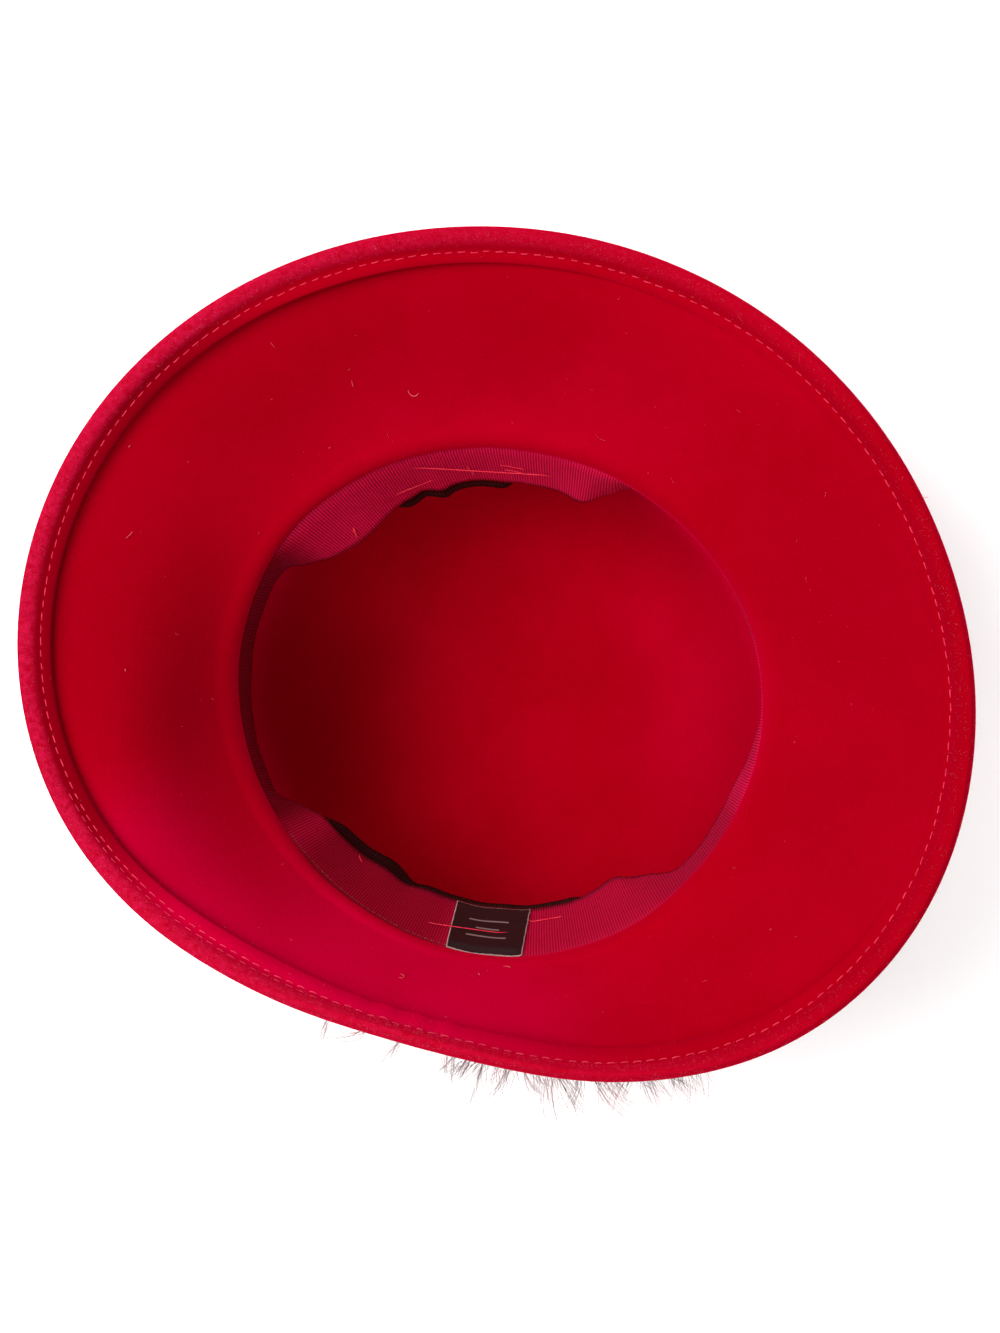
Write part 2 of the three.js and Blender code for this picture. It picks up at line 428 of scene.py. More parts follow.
    def relief(self, bearing: Array, q: Array) -> Array:
        """Soft unevenness of the blocked felt: a few slow waves, none where it rests.

        Args:
            bearing: degrees round the head.
            q: the way along the section, as in middle.

        Returns:
            Millimetres off the felt's middle.
        """
        a = np.radians(bearing)
        waves = (
            0.30 * np.sin(3 * a + 1.1 + 0.8 * q)
            + 0.22 * np.sin(5 * a + 2.6 - 1.3 * q)
            + 0.14 * np.sin(9 * a + 0.4 + 2.1 * q)
            + 0.10 * np.sin(14 * a - 1.7 * q)
        )
        return waves * ease((q - 1.6) / 1.2)

    def face(self, bearing: Array, q: Array, off: Array | float) -> tuple[Array, Array]:
        """A point off the felt's middle by off, towards the hollow where off is positive.

        Args:
            bearing: degrees round the head.
            q: the way along the section, as in middle.
            off: millimetres off the felt's middle.

        Returns:
            Plan radius and height.
        """
        r, z = self.middle(bearing, q)
        nr, nz = self.normal(bearing, q)
        away = off + self.relief(bearing, q)
        return r + nr * away, z + nz * away

    def brim_way(self, t: Array) -> Array:
        """The way along a section, t of the way from throat to rim."""
        return 4 + (t - self.roll_share) / (1 - self.roll_share)

    def q_back(self, bearing: Array, back: Array | float) -> Array:
        """The way along a section at a distance back from the rim, over the brim's slope.

        Args:
            bearing: degrees round the head.
            back: millimetres back from the rim.

        Returns:
            The way along, as in middle.
        """
        span = self.column("reach", bearing) - self.column("throat", bearing) - self.felt
        fall = (self.column("rise", bearing) - self.felt / 2) * (
            1 - self.column("sway", bearing)
        )
        return self.brim_way(1 - back / np.hypot(span, fall))

    def stitch_line(self, bearing: Array) -> Array:
        """How far from the rim the stitches run: closer at the back."""
        return self.stitch_back - self.stitch_turn.adds(bearing)

    def loose(self, bearing: Array) -> Array:
        """1 where the hem's raw edge stands off the brim, 0 where it is pressed flush."""
        return self.loose_turn.share(bearing)

    def edge_lift(self, bearing: Array) -> Array:
        """How far the hem's raw edge stands off the brim.

        Args:
            bearing: degrees round the head.

        Returns:
            Millimetres.
        """
        a = np.radians(bearing)
        waves = 0.25 * np.sin(7 * a) + 0.15 * np.sin(17 * a + 1)
        return self.loose(bearing) * (1.1 + waves)

    def hem_top(self, bearing: Array, back: Array) -> Array:
        """Height of the turned layer over the felt's middle, at a distance from the rim.

        It is full next to the fold, sinks to a channel, carries the stitches on a strip and
        lifts at the raw edge, or thins out to the brim where it is pressed flush.

        Args:
            bearing: degrees round the head.
            back: millimetres back from the rim.

        Returns:
            Millimetres over the felt's middle.
        """
        a = np.radians(bearing)
        pucker = self.pucker_turn.share(bearing) * np.sin(self.pucker_waves * a)
        sewn = self.stitch_line(bearing)
        sunk = self.channel * hump(back, sewn - 0.8, 1.7)
        pulled = self.thread_pull * hump(back, sewn, 0.7)
        inward = ease((back - 4.0) / (self.hem_width - 4.0))
        raised = self.edge_lift(bearing) * inward
        thinned = 0.9 * self.felt * (1 - self.loose(bearing)) * inward
        wave = self.pucker * pucker * ease((back - 2) / 4)
        bead = self.bead * hump(back, 1.6, 2.0)
        return self.felt * 1.5 + bead - sunk - pulled + raised - thinned + wave

    def hem_point(self, bearing: Array, back: Array, over: Array | float) -> Array:
        """A point over the hem's turned layer, at a distance back from the rim."""
        r, z = self.face(bearing, self.q_back(bearing, back), self.hem_top(bearing, back) + over)
        return place(bearing, r, z)

    def brim_point(self, bearing: Array, t: Array, over: Array | float) -> Array:
        """A point off the brim's inner face, t of the way from throat to rim."""
        r, z = self.face(bearing, self.brim_way(t), self.felt / 2 + over)
        return place(bearing, r, z)

    def under_point(self, bearing: Array, t: Array, away: Array | float) -> Array:
        """A point off the brim's outer face, t of the way from throat to rim."""
        r, z = self.face(bearing, self.brim_way(t), -self.felt / 2 - away)
        return place(bearing, r, z)


# ---------------------------------------------------------------- meshes


@dataclass
class MeshParts:
    """Points and faces gathered for one mesh, with a UV map if the cloth has one."""

    points: list[Array] = field(default_factory=list)
    faces: list[Array] = field(default_factory=list)
    uvs: list[Array] = field(default_factory=list)
    count: int = 0

    def add(self, points: Array, faces: Sequence[Array], uvs: Sequence[Array] = ()) -> None:
        """Adds points in millimetres and the faces between them.

        Args:
            points: millimetres, with a last axis of 3.
            faces: blocks of point numbers, counted from the first of these points.
            uvs: places on the cloth, one for each corner of a face.
        """
        flat = points.reshape(-1, 3)
        self.points.append(flat)
        for block in faces:
            self.faces.append(block + self.count)
        self.uvs.extend(uvs)
        self.count += len(flat)

    def build(self, name: str, material: bpy.types.Material, slot: Slot) -> bpy.types.Object:
        """Makes the piece, in metres at the origin, riding on the hat.

        Args:
            name: the piece's name.
            material: its finish.
            slot: the record's slot that the finish belongs to; not used.

        Returns:
            The new object.
        """
        mesh = bpy.data.meshes.new(name)
        points = np.concatenate(self.points) * MM
        polygons = [face for block in self.faces for face in block.tolist()]
        mesh.from_pydata(points.tolist(), [], polygons)
        mesh.polygons.foreach_set("use_smooth", np.ones(len(polygons), bool))
        if self.uvs:
            layer = mesh.uv_layers.new(name="cloth")
            layer.data.foreach_set("uv", np.concatenate(self.uvs).ravel().astype(np.float32))
        mesh.materials.append(material)
        mesh.update()
        piece = bpy.data.objects.new(name, mesh)
        bpy.context.scene.collection.objects.link(piece)
        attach(piece, "root")
        log.info("%s: %d points, %d faces", name, self.count, len(polygons))
        return piece


def grid_quads(rows: int, columns: int, round_rows: bool, round_columns: bool) -> Array:
    """The quads of a grid of points, each with its corner's row and column.

    Args:
        rows: how many rows of points.
        columns: how many points in a row.
        round_rows: whether the last row meets the first.
        round_columns: whether a row's last point meets its first.

    Returns:
        An array (quads, 4, 2) of row and column, not wrapped, so that a UV map can use it.
    """
    r = np.arange(rows if round_rows else rows - 1)[:, None]
    c = np.arange(columns if round_columns else columns - 1)[None, :]
    r, c = np.broadcast_arrays(r, c)
    corners = [(r, c), (r, c + 1), (r + 1, c + 1), (r + 1, c)]
    return np.stack([np.stack(k, -1) for k in corners], -2).reshape(-1, 4, 2)


def quad_numbers(quads: Array, rows: int, columns: int) -> Array:
    """Point numbers of a grid's quads, wrapped round where the grid closes."""
    return (quads[..., 0] % rows) * columns + quads[..., 1] % columns


def tube_parts(parts: MeshParts, paths: Array, radius: Array, sides: int) -> None:
    """Adds closed tubes along many paths at once.

    Args:
        parts: where they are added.
        paths: points, (tubes, steps, 3).
        radius: radius at each point, (tubes, steps).
        sides: how many sides a tube has.
    """
    number, steps, _ = paths.shape
    along = np.gradient(paths, axis=1)
    along /= np.linalg.norm(along, axis=-1, keepdims=True) + 1e-9
    guide = np.where(np.abs(along[..., 2:3]) > 0.9, [1.0, 0.0, 0.0], [0.0, 0.0, 1.0])
    first = np.cross(along, guide)
    first /= np.linalg.norm(first, axis=-1, keepdims=True) + 1e-9
    second = np.cross(along, first)
    angle = np.arange(sides) * 2 * math.pi / sides
    ring = (
        first[:, :, None, :] * np.cos(angle)[:, None]
        + second[:, :, None, :] * np.sin(angle)[:, None]
    )
    points = paths[:, :, None, :] + ring * radius[:, :, None, None]
    quads = quad_numbers(grid_quads(steps, sides, False, True), steps, sides)
    start = (np.arange(number) * steps * sides)[:, None, None]
    side_faces = (quads[None] + start).reshape(-1, 4)[:, ::-1]
    cap = np.arange(sides)
    first_cap = cap[None] + start[:, :, 0]
    last_cap = cap[::-1][None] + start[:, :, 0] + (steps - 1) * sides
    parts.add(points, [side_faces, first_cap, last_cap])


# ---------------------------------------------------------------- shader sums


class Wire:
    """A shader value that ordinary sums can be written with."""

    def __init__(self, sheet: "ShaderSheet", socket: bpy.types.NodeSocket) -> None:
        """Keeps the sheet and the socket that the value comes from."""
        self.sheet = sheet
        self.socket = socket

    def _sum(self, operation: str, a: Any, b: Any) -> "Wire":
        """Adds one Math node."""
        return self.sheet.node("ShaderNodeMath", {"operation": operation}, {0: a, 1: b})

    def __add__(self, other: Any) -> "Wire":
        """Self plus other."""
        return self._sum("ADD", self, other)

    def __radd__(self, other: Any) -> "Wire":
        """Other plus self."""
        return self._sum("ADD", other, self)

    def __sub__(self, other: Any) -> "Wire":
        """Self minus other."""
        return self._sum("SUBTRACT", self, other)

    def __rsub__(self, other: Any) -> "Wire":
        """Other minus self."""
        return self._sum("SUBTRACT", other, self)

    def __mul__(self, other: Any) -> "Wire":
        """Self times other."""
        return self._sum("MULTIPLY", self, other)

    def __rmul__(self, other: Any) -> "Wire":
        """Other times self."""
        return self._sum("MULTIPLY", other, self)


class ShaderSheet:
    """One material's nodes."""

    def __init__(self, name: str) -> None:
        """Starts a material with nothing but its output.

        Args:
            name: the material's name.
        """
        self.material = bpy.data.materials.new(name)
        self.material.use_nodes = True
        self.tree = self.material.node_tree
        self.tree.nodes.clear()
        self.output = self.tree.nodes.new("ShaderNodeOutputMaterial")

    def node(
        self,
        kind: str,
        settings: dict[str, Any] | None = None,
        inputs: dict[Any, Any] | None = None,
        output: Any = 0,
    ) -> Wire:
        """Adds a node.

        Args:
            kind: Blender's name of the node's type.
            settings: its own settings.
            inputs: values or wires by the socket's name or number.
            output: the output that is wanted.

        Returns:
            A wire from that output.
        """
        node = self.tree.nodes.new(kind)
        for key, value in (settings or {}).items():
            setattr(node, key, value)
        for key, value in (inputs or {}).items():
            if isinstance(value, Wire):
                self.tree.links.new(value.socket, node.inputs[key])
            else:
                node.inputs[key].default_value = value
        return Wire(self, node.outputs[output])

    def noise(self, where: Wire, scale: float, detail: float = 3.0, rough: float = 0.5) -> Wire:
        """Noise of about one cell in 1/scale metres, from 0 to 1."""
        inputs = {"Vector": where, "Scale": scale, "Detail": detail, "Roughness": rough}
        return self.node("ShaderNodeTexNoise", None, inputs)

    def span(self, value: Wire, low: float, high: float) -> Wire:
        """0 where value is low, 1 where it is high, and clipped."""
        inputs = {"Value": value, "From Min": low, "From Max": high}
        return self.node("ShaderNodeMapRange", {"clamp": True}, inputs)

    def blend(self, share: Any, a: Any, b: Any) -> Wire:
        """Mixes two colours: a where share is 0, b where it is 1."""
        inputs = {0: share, 6: a, 7: b}
        return self.node("ShaderNodeMix", {"data_type": "RGBA"}, inputs, 2)

    def bump(self, height: Wire, distance: float, strength: float = 1.0) -> Wire:
        """A normal from a height."""
        inputs = {"Height": height, "Distance": distance, "Strength": strength}
        return self.node("ShaderNodeBump", None, inputs)

    def object_place(self) -> Wire:
        """Where on the object a point is, in metres."""
        return self.node("ShaderNodeTexCoord", None, None, "Object")

    def cloth_place(self) -> tuple[Wire, Wire]:
        """How far along and across the cloth a point is, in millimetres."""
        cloth = self.node("ShaderNodeUVMap", {"uv_map": "cloth"})
        return self.axis(cloth, 0), self.axis(cloth, 1)

    def attribute(self, name: str) -> Wire:
        """One of the mesh's own attributes."""
        return self.node("ShaderNodeAttribute", {"attribute_name": name}, None, "Fac")

    def axis(self, vector: Wire, number: int) -> Wire:
        """One of a vector's three parts."""
        return self.node("ShaderNodeSeparateXYZ", None, {0: vector}, number)

    def math(self, operation: str, value: Any) -> Wire:
        """One Math node on one value."""
        return self.node("ShaderNodeMath", {"operation": operation}, {0: value})

    def finish(self, inputs: dict[str, Any]) -> bpy.types.Material:
        """Ends the material in one Principled shader with these inputs.

        Args:
            inputs: values or wires by the socket's name.

        Returns:
            The material.
        """
        shader = self.node("ShaderNodeBsdfPrincipled", None, inputs)
        self.tree.links.new(shader.socket, self.output.inputs[0])
        return self.material


Colour = tuple[float, float, float, float]


@dataclass(frozen=True)
class FeltFinish:
    """Short-napped wool felt: matt, mottled, with a pinkish bloom on the nap, and painted light
    and painted shade in its colour.
    """

    deep: Colour = (0.290, 0.0000, 0.0040, 1.0)
    full: Colour = (0.350, 0.0000, 0.0080, 1.0)
    # Pink of the rubbed rim, also a painted highlight on the side towards the window lamp.
    worn_and_highlight: Colour = (0.520, 0.0080, 0.0560, 1.0)
    # Painted light: a paler, pinker red where the felt is made to look more lit.
    painted_light: Colour = (0.510, 0.0000, 0.0360, 1.0)
    # Painted shade: a dark red where the felt is made to look shaded.
    flat: Colour = (0.150, 0.0000, 0.0030, 1.0)
    bloom: Colour = (1.0, 0.0, 0.06, 1.0)

    def make(self) -> bpy.types.Material:
        """Mixes reds by noise, adds painted light, painted shade and a pinker rim; fibres as
        bump.

        Returns:
            The material.
        """
        sheet = ShaderSheet("wool_felt")
        where = sheet.object_place()
        broad = sheet.span(sheet.noise(where, 22, 4), 0.35, 0.65)
        cloud = sheet.span(sheet.noise(where, 160, 4, 0.6), 0.3, 0.7)
        fibre = sheet.noise(where, 1500, 5, 0.7)
        coarse = sheet.noise(where, 520, 4, 0.62)
        # Besides the rim's share, the mesh carries a share of painted light and one of painted
        # shade.
        edge, raised, painted_shade = (sheet.attribute(name) for name in ("edge", "raised", "painted_shade"))
        side = sheet.axis(where, 0)
        mottle = broad * 0.5 + cloud * 0.3 + fibre * 0.2
        base = sheet.blend(mottle, self.deep, self.full)
        # Painted light, then painted shade, laid over the mottled red.
        base = sheet.blend(raised * (broad * 0.3 + 0.7), base, self.painted_light)
        base = sheet.blend(painted_shade, base, self.flat)
        # The rim's fold turns pinker where rubbed, real wear, and more so towards negative x
        # where the window lamp stands, a painted highlight.
        rubbed = edge * sheet.span(coarse + fibre * 0.6, 0.55, 1.05)
        colour = sheet.blend(rubbed * sheet.span(side, 0.13, -0.10) * 0.75, base, self.worn_and_highlight)
        height = fibre * 0.6 + coarse * 0.8
        return sheet.finish(
            {
                "Base Color": colour,
                "Roughness": 0.95,
                "Specular IOR Level": 0.0,
                "Sheen Weight": 0.70,
                "Sheen Roughness": 0.5,
                "Sheen Tint": self.bloom,
                "Normal": sheet.bump(height, 0.00022, 0.7),
            }
        )


@dataclass(frozen=True)
class RibbonFinish:
    """Ribbed ribbon: painted highlight on each rib's crest and painted shade in its valley, fine
    threads over the ribs.
    """

    name: str
    # Painted shade in the rib valleys and a painted highlight on the rib crests.
    valley: Colour
    crest: Colour
    pitch: float
    sheen: float
    bloom: Colour
    # Painted shade: the colour the ribbon takes where it lies in shadow.
    painted_shade_colour: Colour
    roughness: float = 0.62
    thread_pitch: float = 0.28

    def make(self) -> bpy.types.Material:
        """Colours the ribs by their place along the ribbon: painted highlight on crests, shade in
        valleys.

        Returns:
            The material.
        """
        sheet = ShaderSheet(self.name)
        along, across = sheet.cloth_place()
        where = sheet.object_place()
        rib = sheet.math("COSINE", along * (2 * math.pi / self.pitch))
        thread = sheet.math("COSINE", across * (2 * math.pi / self.thread_pitch))
        uneven = sheet.noise(where, 240, 4, 0.6)
        grain = sheet.noise(where, 2600, 3, 0.6)
        lit = sheet.span(rib + uneven * 0.9 - 0.45 + thread * 0.12, -0.8, 0.9)
        # Painted shade over the ribs where the ribbon lies in shadow.
        ribbon_painted_shade = sheet.attribute("ribbon_painted_shade")
        ribbed = sheet.blend(lit, self.valley, self.crest)
        colour = sheet.blend(ribbon_painted_shade, ribbed, self.painted_shade_colour)
        height = rib * 0.6 + thread * 0.14 + grain * 0.5
        return sheet.finish(
            {
                "Base Color": colour,
                "Roughness": self.roughness,
                "Specular IOR Level": 0.06,
                "Sheen Weight": self.sheen,
                "Sheen Roughness": 0.4,
                "Sheen Tint": self.bloom,
                "Normal": sheet.bump(height, 0.00012, 0.8),
            }
        )


@dataclass(frozen=True)
class SatinFinish:
    """Black woven satin with pale heat-cut edges and a few plain woven bars."""

    ground: Colour = (0.007, 0.0015, 0.0020, 1.0)
    lit: Colour = (0.030, 0.0050, 0.0060, 1.0)
    pale: Colour = (0.40, 0.28, 0.26, 1.0)
    weave_pitch: float = 0.35

    def make(self, along_size: float, across_size: float) -> bpy.types.Material:
        """Lays the edges and the bars over the satin.

        Args:
            along_size: the label's size along the band, in millimetres.
            across_size: its size across the band.

        Returns:
            The material.
        """
        sheet = ShaderSheet("label_satin")
        along, across = sheet.cloth_place()
        where = sheet.object_place()
        ragged = sheet.noise(where, 900, 4, 0.7)
        weave = sheet.math("SINE", across * (2 * math.pi / self.weave_pitch))
        ground = sheet.blend(weave * 0.3 + ragged * 0.7, self.ground, self.lit)
        ends = self._rim(sheet, along, along_size, ragged)
        edge = ends + self._rim(sheet, across, across_size, ragged)
        bars = self._bars(sheet, along, across)
        marks = sheet.span(edge + bars, 0.0, 1.0)
        colour = sheet.blend(marks, ground, self.pale)
        return sheet.finish(
            {
                "Base Color": colour,
                "Roughness": 0.38,
                "Specular IOR Level": 0.15,
                "Sheen Weight": 0.02,
                "Normal": sheet.bump(weave * 0.3 + ragged * 0.5, 0.0001, 0.6),
            }
        )

    @staticmethod
    def _rim(sheet: ShaderSheet, place_on: Wire, size: float, ragged: Wire) -> Wire:
        """1 within a ragged third of a millimetre of both ends of a direction.

        Args:
            sheet: the material's nodes.
            place_on: how far along the direction a point is.
            size: the label's size that way.
            ragged: noise that wears the edge.

        Returns:
            The share.
        """
        near = sheet.span(place_on + ragged * 0.5, 0.62, 0.42)
        far = sheet.span(place_on - ragged * 0.5, size - 0.62, size - 0.42)
        return near + far

    @staticmethod
    def _bars(sheet: ShaderSheet, along: Wire, across: Wire) -> Wire:
        """Three plain bars of different lengths, woven across the label's middle.

        Args:
            sheet: the material's nodes.
            along: how far along the label a point is.
            across: how far across it.

        Returns:
            0.45 on a bar's middle, and 0 off the bars.
        """
        total = None
        for middle, start, end in ((9.0, 6.0, 21.0), (14.0, 9.0, 18.0), (19.0, 6.0, 21.0)):
            line = sheet.span(sheet.math("ABSOLUTE", across - middle), 0.50, 0.30)
            inside = sheet.span(along, start, start + 0.3) * sheet.span(along, end, end - 0.3)
            bar = line * inside * 0.45
            total = bar if total is None else total + bar
        return total


@dataclass(frozen=True)
class FibreFinish:
    """A thread or fibre of nearly one colour, a little lighter here and there."""

    name: str
    dark: Colour
    light: Colour
    roughness: float = 0.6
    sheen: float = 0.3
    scale: float = 400.0

    def make(self) -> bpy.types.Material:
        """Mixes the two colours by noise along the piece.

        Returns:
            The material.
        """
        sheet = ShaderSheet(self.name)
        patch = sheet.span(sheet.noise(sheet.object_place(), self.scale, 3), 0.35, 0.65)
        return sheet.finish(
            {
                "Base Color": sheet.blend(patch, self.dark, self.light),
                "Roughness": self.roughness,
                "Specular IOR Level": 0.2,
                "Sheen Weight": self.sheen,
            }
        )


def tube_piece(
    name: str, finish: FibreFinish, slot: Slot, paths: Array, radius: Array, sides: int
) -> bpy.types.Object:
    """Makes a piece that is nothing but tubes.

    Args:
        name: the piece's name.
        finish: its material.
        slot: the record's slot.
        paths: points, (tubes, steps, 3).
        radius: radii that fit (tubes, steps).
        sides: how many sides a tube has.

    Returns:
        The piece.
    """
    parts = MeshParts()
    tube_parts(parts, paths, np.broadcast_to(radius, paths.shape[:2]), sides)
    return parts.build(name, finish.make(), slot)


def set_share(piece: bpy.types.Object, name: str, values: Array) -> None:
    """Keeps one share for each of a piece's points, for its material to read."""
    layer = piece.data.attributes.new(name, "FLOAT", "POINT")
    layer.data.foreach_set("value", values.ravel().astype(np.float32))


SEAM_THREAD = FibreFinish(
    "seam_thread", (0.26, 0.01, 0.03, 1), (0.48, 0.07, 0.09, 1), roughness=0.7, sheen=0.05
)
TACKING_THREAD = FibreFinish(
    "tacking_thread", (0.70, 0.004, 0.025, 1), (0.82, 0.030, 0.070, 1), roughness=0.7, sheen=0.05
)
HEM_THREAD = FibreFinish(
    "hem_thread", (0.52, 0.006, 0.040, 1), (0.68, 0.030, 0.080, 1), roughness=0.7, sheen=0.05
)
FELT_NAP = FibreFinish("felt_nap", (0.46, 0.006, 0.020, 1), (0.66, 0.060, 0.095, 1))
BRIM_LINT = FibreFinish("brim_lint", (0.50, 0.02, 0.05, 1), (0.70, 0.10, 0.14, 1))
CAUGHT_STRAND = FibreFinish("caught_strand", (0.60, 0.03, 0.05, 1), (0.80, 0.15, 0.17, 1))
FEATHER_QUILL = FibreFinish("feather_quill", (0.05, 0.022, 0.022, 1), (0.14, 0.06, 0.06, 1))
FEATHER_BARB = FibreFinish(
    "feather_barb", (0.045, 0.028, 0.030, 1), (0.26, 0.085, 0.10, 1), 0.7, 0.2, 120
)
FEATHER_WISP = FibreFinish(
    "feather_wisp", (0.10, 0.060, 0.062, 1), (0.42, 0.20, 0.22, 1), 0.7, 0.2, 120
)


# ---------------------------------------------------------------- felt


@dataclass
class FeltBody:
    """Crown, brim and turned hem: one piece of felt."""

    form: HatForm
    columns: int = 400
    undercut: float = 3.0
    # How much painted shade the hem's pressed strip gets, more between bearings 125 and 205.
    strip_shade: float = 0.3
    side_strip_shade: Turn = Turn(125, 205, 25, 0.7)
    # Where the felt gets painted light (the next four) and painted shade (the three after).
    back_painted_light: Turn = Turn(222, 276, 50, 1.0)
    corner_painted_light: Turn = Turn(195, 222, 20, 0.6)
    front_painted_light: Turn = Turn(60, 125, 40, 0.12)
    crown_painted_light: Turn = Turn(-30, 45, 35, 0.18)
    left_painted_shade: Turn = Turn(-45, 35, 50, 0.28)
    right_painted_shade: Turn = Turn(160, 200, 50, 1.0)
    crown_painted_shade: Turn = Turn(150, 210, 35, 0.35)

    def profile(self, bearing: Array) -> tuple[Array, Array, Array, Array]:
        """The closed section at each bearing.

        Args:
            bearing: one row of bearings.

        Returns:
            Radii, heights, how much each point belongs to the folded rim, whose nap is
            rubbed, and how much to the hem's pressed strip, (points, bearings).
        """
        form = self.form
        half = form.felt / 2
        ends = [(0.07, 1, 8), (1, 2, 24), (2, 3, 8), (3, 4, 8), (4, 5, 26)]
        outer_q = np.concatenate([np.linspace(a, b, n + 1)[1 if a else 0:] for a, b, n in ends])
        outer = form.face(bearing, outer_q[:, None], -half)
        phi = np.radians(np.linspace(-80, 80, 9))[:, None]
        rim = form.middle(bearing, np.full_like(bearing, 5.0))
        nr, nz = form.normal(bearing, np.full_like(bearing, 4.99))
        top = form.hem_top(bearing, np.zeros_like(bearing))
        centre, swing = (top - half) / 2, (top + half) / 2
        out = form.fold_bulge * np.cos(phi)
        over = centre + swing * np.sin(phi) + form.relief(bearing, 5.0)
        fold = rim[0] + nz * out + nr * over, rim[1] - nr * out + nz * over
        back = np.linspace(0, form.hem_width, 26)[:, None]
        q = form.q_back(bearing, back)
        hem = form.face(bearing, np.minimum(q, 5.0), form.hem_top(bearing, back))
        width = form.hem_width
        end_top = form.hem_top(bearing, np.full_like(bearing, width))
        thick = np.minimum(form.felt, end_top - half)
        edge_back = width + 0.35 * np.sin(np.radians([35, 90, 145]))[:, None]
        edge_over = end_top - thick * np.array([0.25, 0.55, 0.85])[:, None]
        edge = form.face(bearing, form.q_back(bearing, edge_back), edge_over)
        share = np.linspace(0, 1, 5)[:, None]
        under_back = width - self.undercut * share
        under_over = (end_top - thick) * (1 - share) + half * share
        under = form.face(bearing, form.q_back(bearing, under_back), under_over)
        start = form.q_back(bearing, np.full_like(bearing, width - self.undercut - 0.2))
        brim_share = np.linspace(0, 1, 58)[:, None]
        brim_q = start * (1 - brim_share) + 4.0 * brim_share
        brim = form.face(bearing, brim_q, half)
        rest = [(4, 3, 14), (3, 2, 12), (2, 1, 24), (1, 0.07, 8)]
        inner_q = np.concatenate([np.linspace(a, b, n + 1)[1:] for a, b, n in rest])
        inner = form.face(bearing, inner_q[:, None], half)
        blocks = [outer, fold, hem, edge, under, brim, inner]
        radius = np.concatenate([b[0] for b in blocks])
        height = np.concatenate([b[1] for b in blocks])
        strip = ease((back - 3.0) / 2.5) * np.ones_like(bearing)
        rolled = {1: np.ones_like(fold[0]), 2: 1 - strip}
        pressed = {2: strip, 3: np.ones_like(edge[0])}
        rim_share, strip_share = (
            np.concatenate([share.get(k, np.zeros_like(b[0])) for k, b in enumerate(blocks)])
            for share in (rolled, pressed)
        )
        return radius, height, rim_share, strip_share

    def nap(self, bearing: Array, radius: Array, height: Array) -> tuple[Array, Array]:
        """Where the felt gets painted light, paler and pinker, and painted shade, dark.

        Args:
            bearing: one row of bearings.
            radius: radii, (points, bearings).
            height: heights, the same.

        Returns:
            Both shares. Painted light: the back, a little at the front next to the throat, and
                one
            side of the crown. Painted shade: the wearer's left, the crown's other side, and a
                hollow
            on the wearer's right, a little off the throat.
        """
        on_brim = ease((height - self.form.throat_height + 2) / 6)
        in_crown = (1 - on_brim) * ease((radius - 30) / 40)
        outwards = ease((radius - 84) / 10)
        back = self.back_painted_light.adds(bearing) * outwards
        back = back * (0.7 + 0.3 * ease((radius - 92) / 14))
        corner = self.corner_painted_light.adds(bearing) * ease((radius - 100) / 22)
        front = self.front_painted_light.adds(bearing) * (1 - ease((radius - 100) / 35))
        raised = np.minimum(back + corner + front, 1) * on_brim
        raised = raised + self.crown_painted_light.adds(bearing) * in_crown
        left = self.left_painted_shade.adds(bearing) * outwards
        hollow = 0.75 * hump(radius, 112, 15) + 0.36 * ease((radius - 130) / 20)
        painted_shade = (left + self.right_painted_shade.adds(bearing) * hollow) * on_brim
        painted_shade = painted_shade + self.crown_painted_shade.adds(bearing) * in_crown
        return raised, painted_shade

    def build(self) -> bpy.types.Object:
        """Sweeps the section round the head and closes it at the crown's tip.

        Returns:
            The piece.
        """
        bearing = np.arange(self.columns) * 360 / self.columns
        radius, height, rim_share, strip_share = self.profile(bearing[None, :])
        points = place(bearing[None, :], radius, height)
        rows = len(points)
        quads = quad_numbers(grid_quads(rows, self.columns, False, True), rows, self.columns)
        ring = np.arange(self.columns)
        following = (ring + 1) % self.columns
        poles = np.array([[0, 0, height[0].mean()], [0, 0, height[-1].mean()]])
        first_pole, last_pole = rows * self.columns, rows * self.columns + 1
        last = (rows - 1) * self.columns
        tip = np.stack([np.full_like(ring, first_pole), following, ring], -1)
        inside = np.stack([np.full_like(ring, last_pole), last + ring, last + following], -1)
        parts = MeshParts()
        parts.add(np.concatenate([points.reshape(-1, 3), poles]), [quads, tip, inside])
        piece = parts.build("felt_hat", FeltFinish().make(), Slot.FELT)
        # Painted light and painted shade for the felt's colour: no light on the rim's fold, and
        # shade also on the hem's strip where its edge stands loose.
        raised, painted_shade = self.nap(bearing[None, :], radius, height)
        raised = raised * (1 - rim_share)
        pressed = self.strip_shade + self.side_strip_shade.adds(bearing)
        painted_shade = np.maximum(painted_shade, strip_share * self.form.loose(bearing) * pressed)
        for name, values in (("edge", rim_share), ("raised", raised), ("painted_shade", painted_shade)):
            set_share(piece, name, np.concatenate([values.ravel(), [0.0, 0.0]]))
        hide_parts("felt_body")
        return piece


# ---------------------------------------------------------------- ribbons


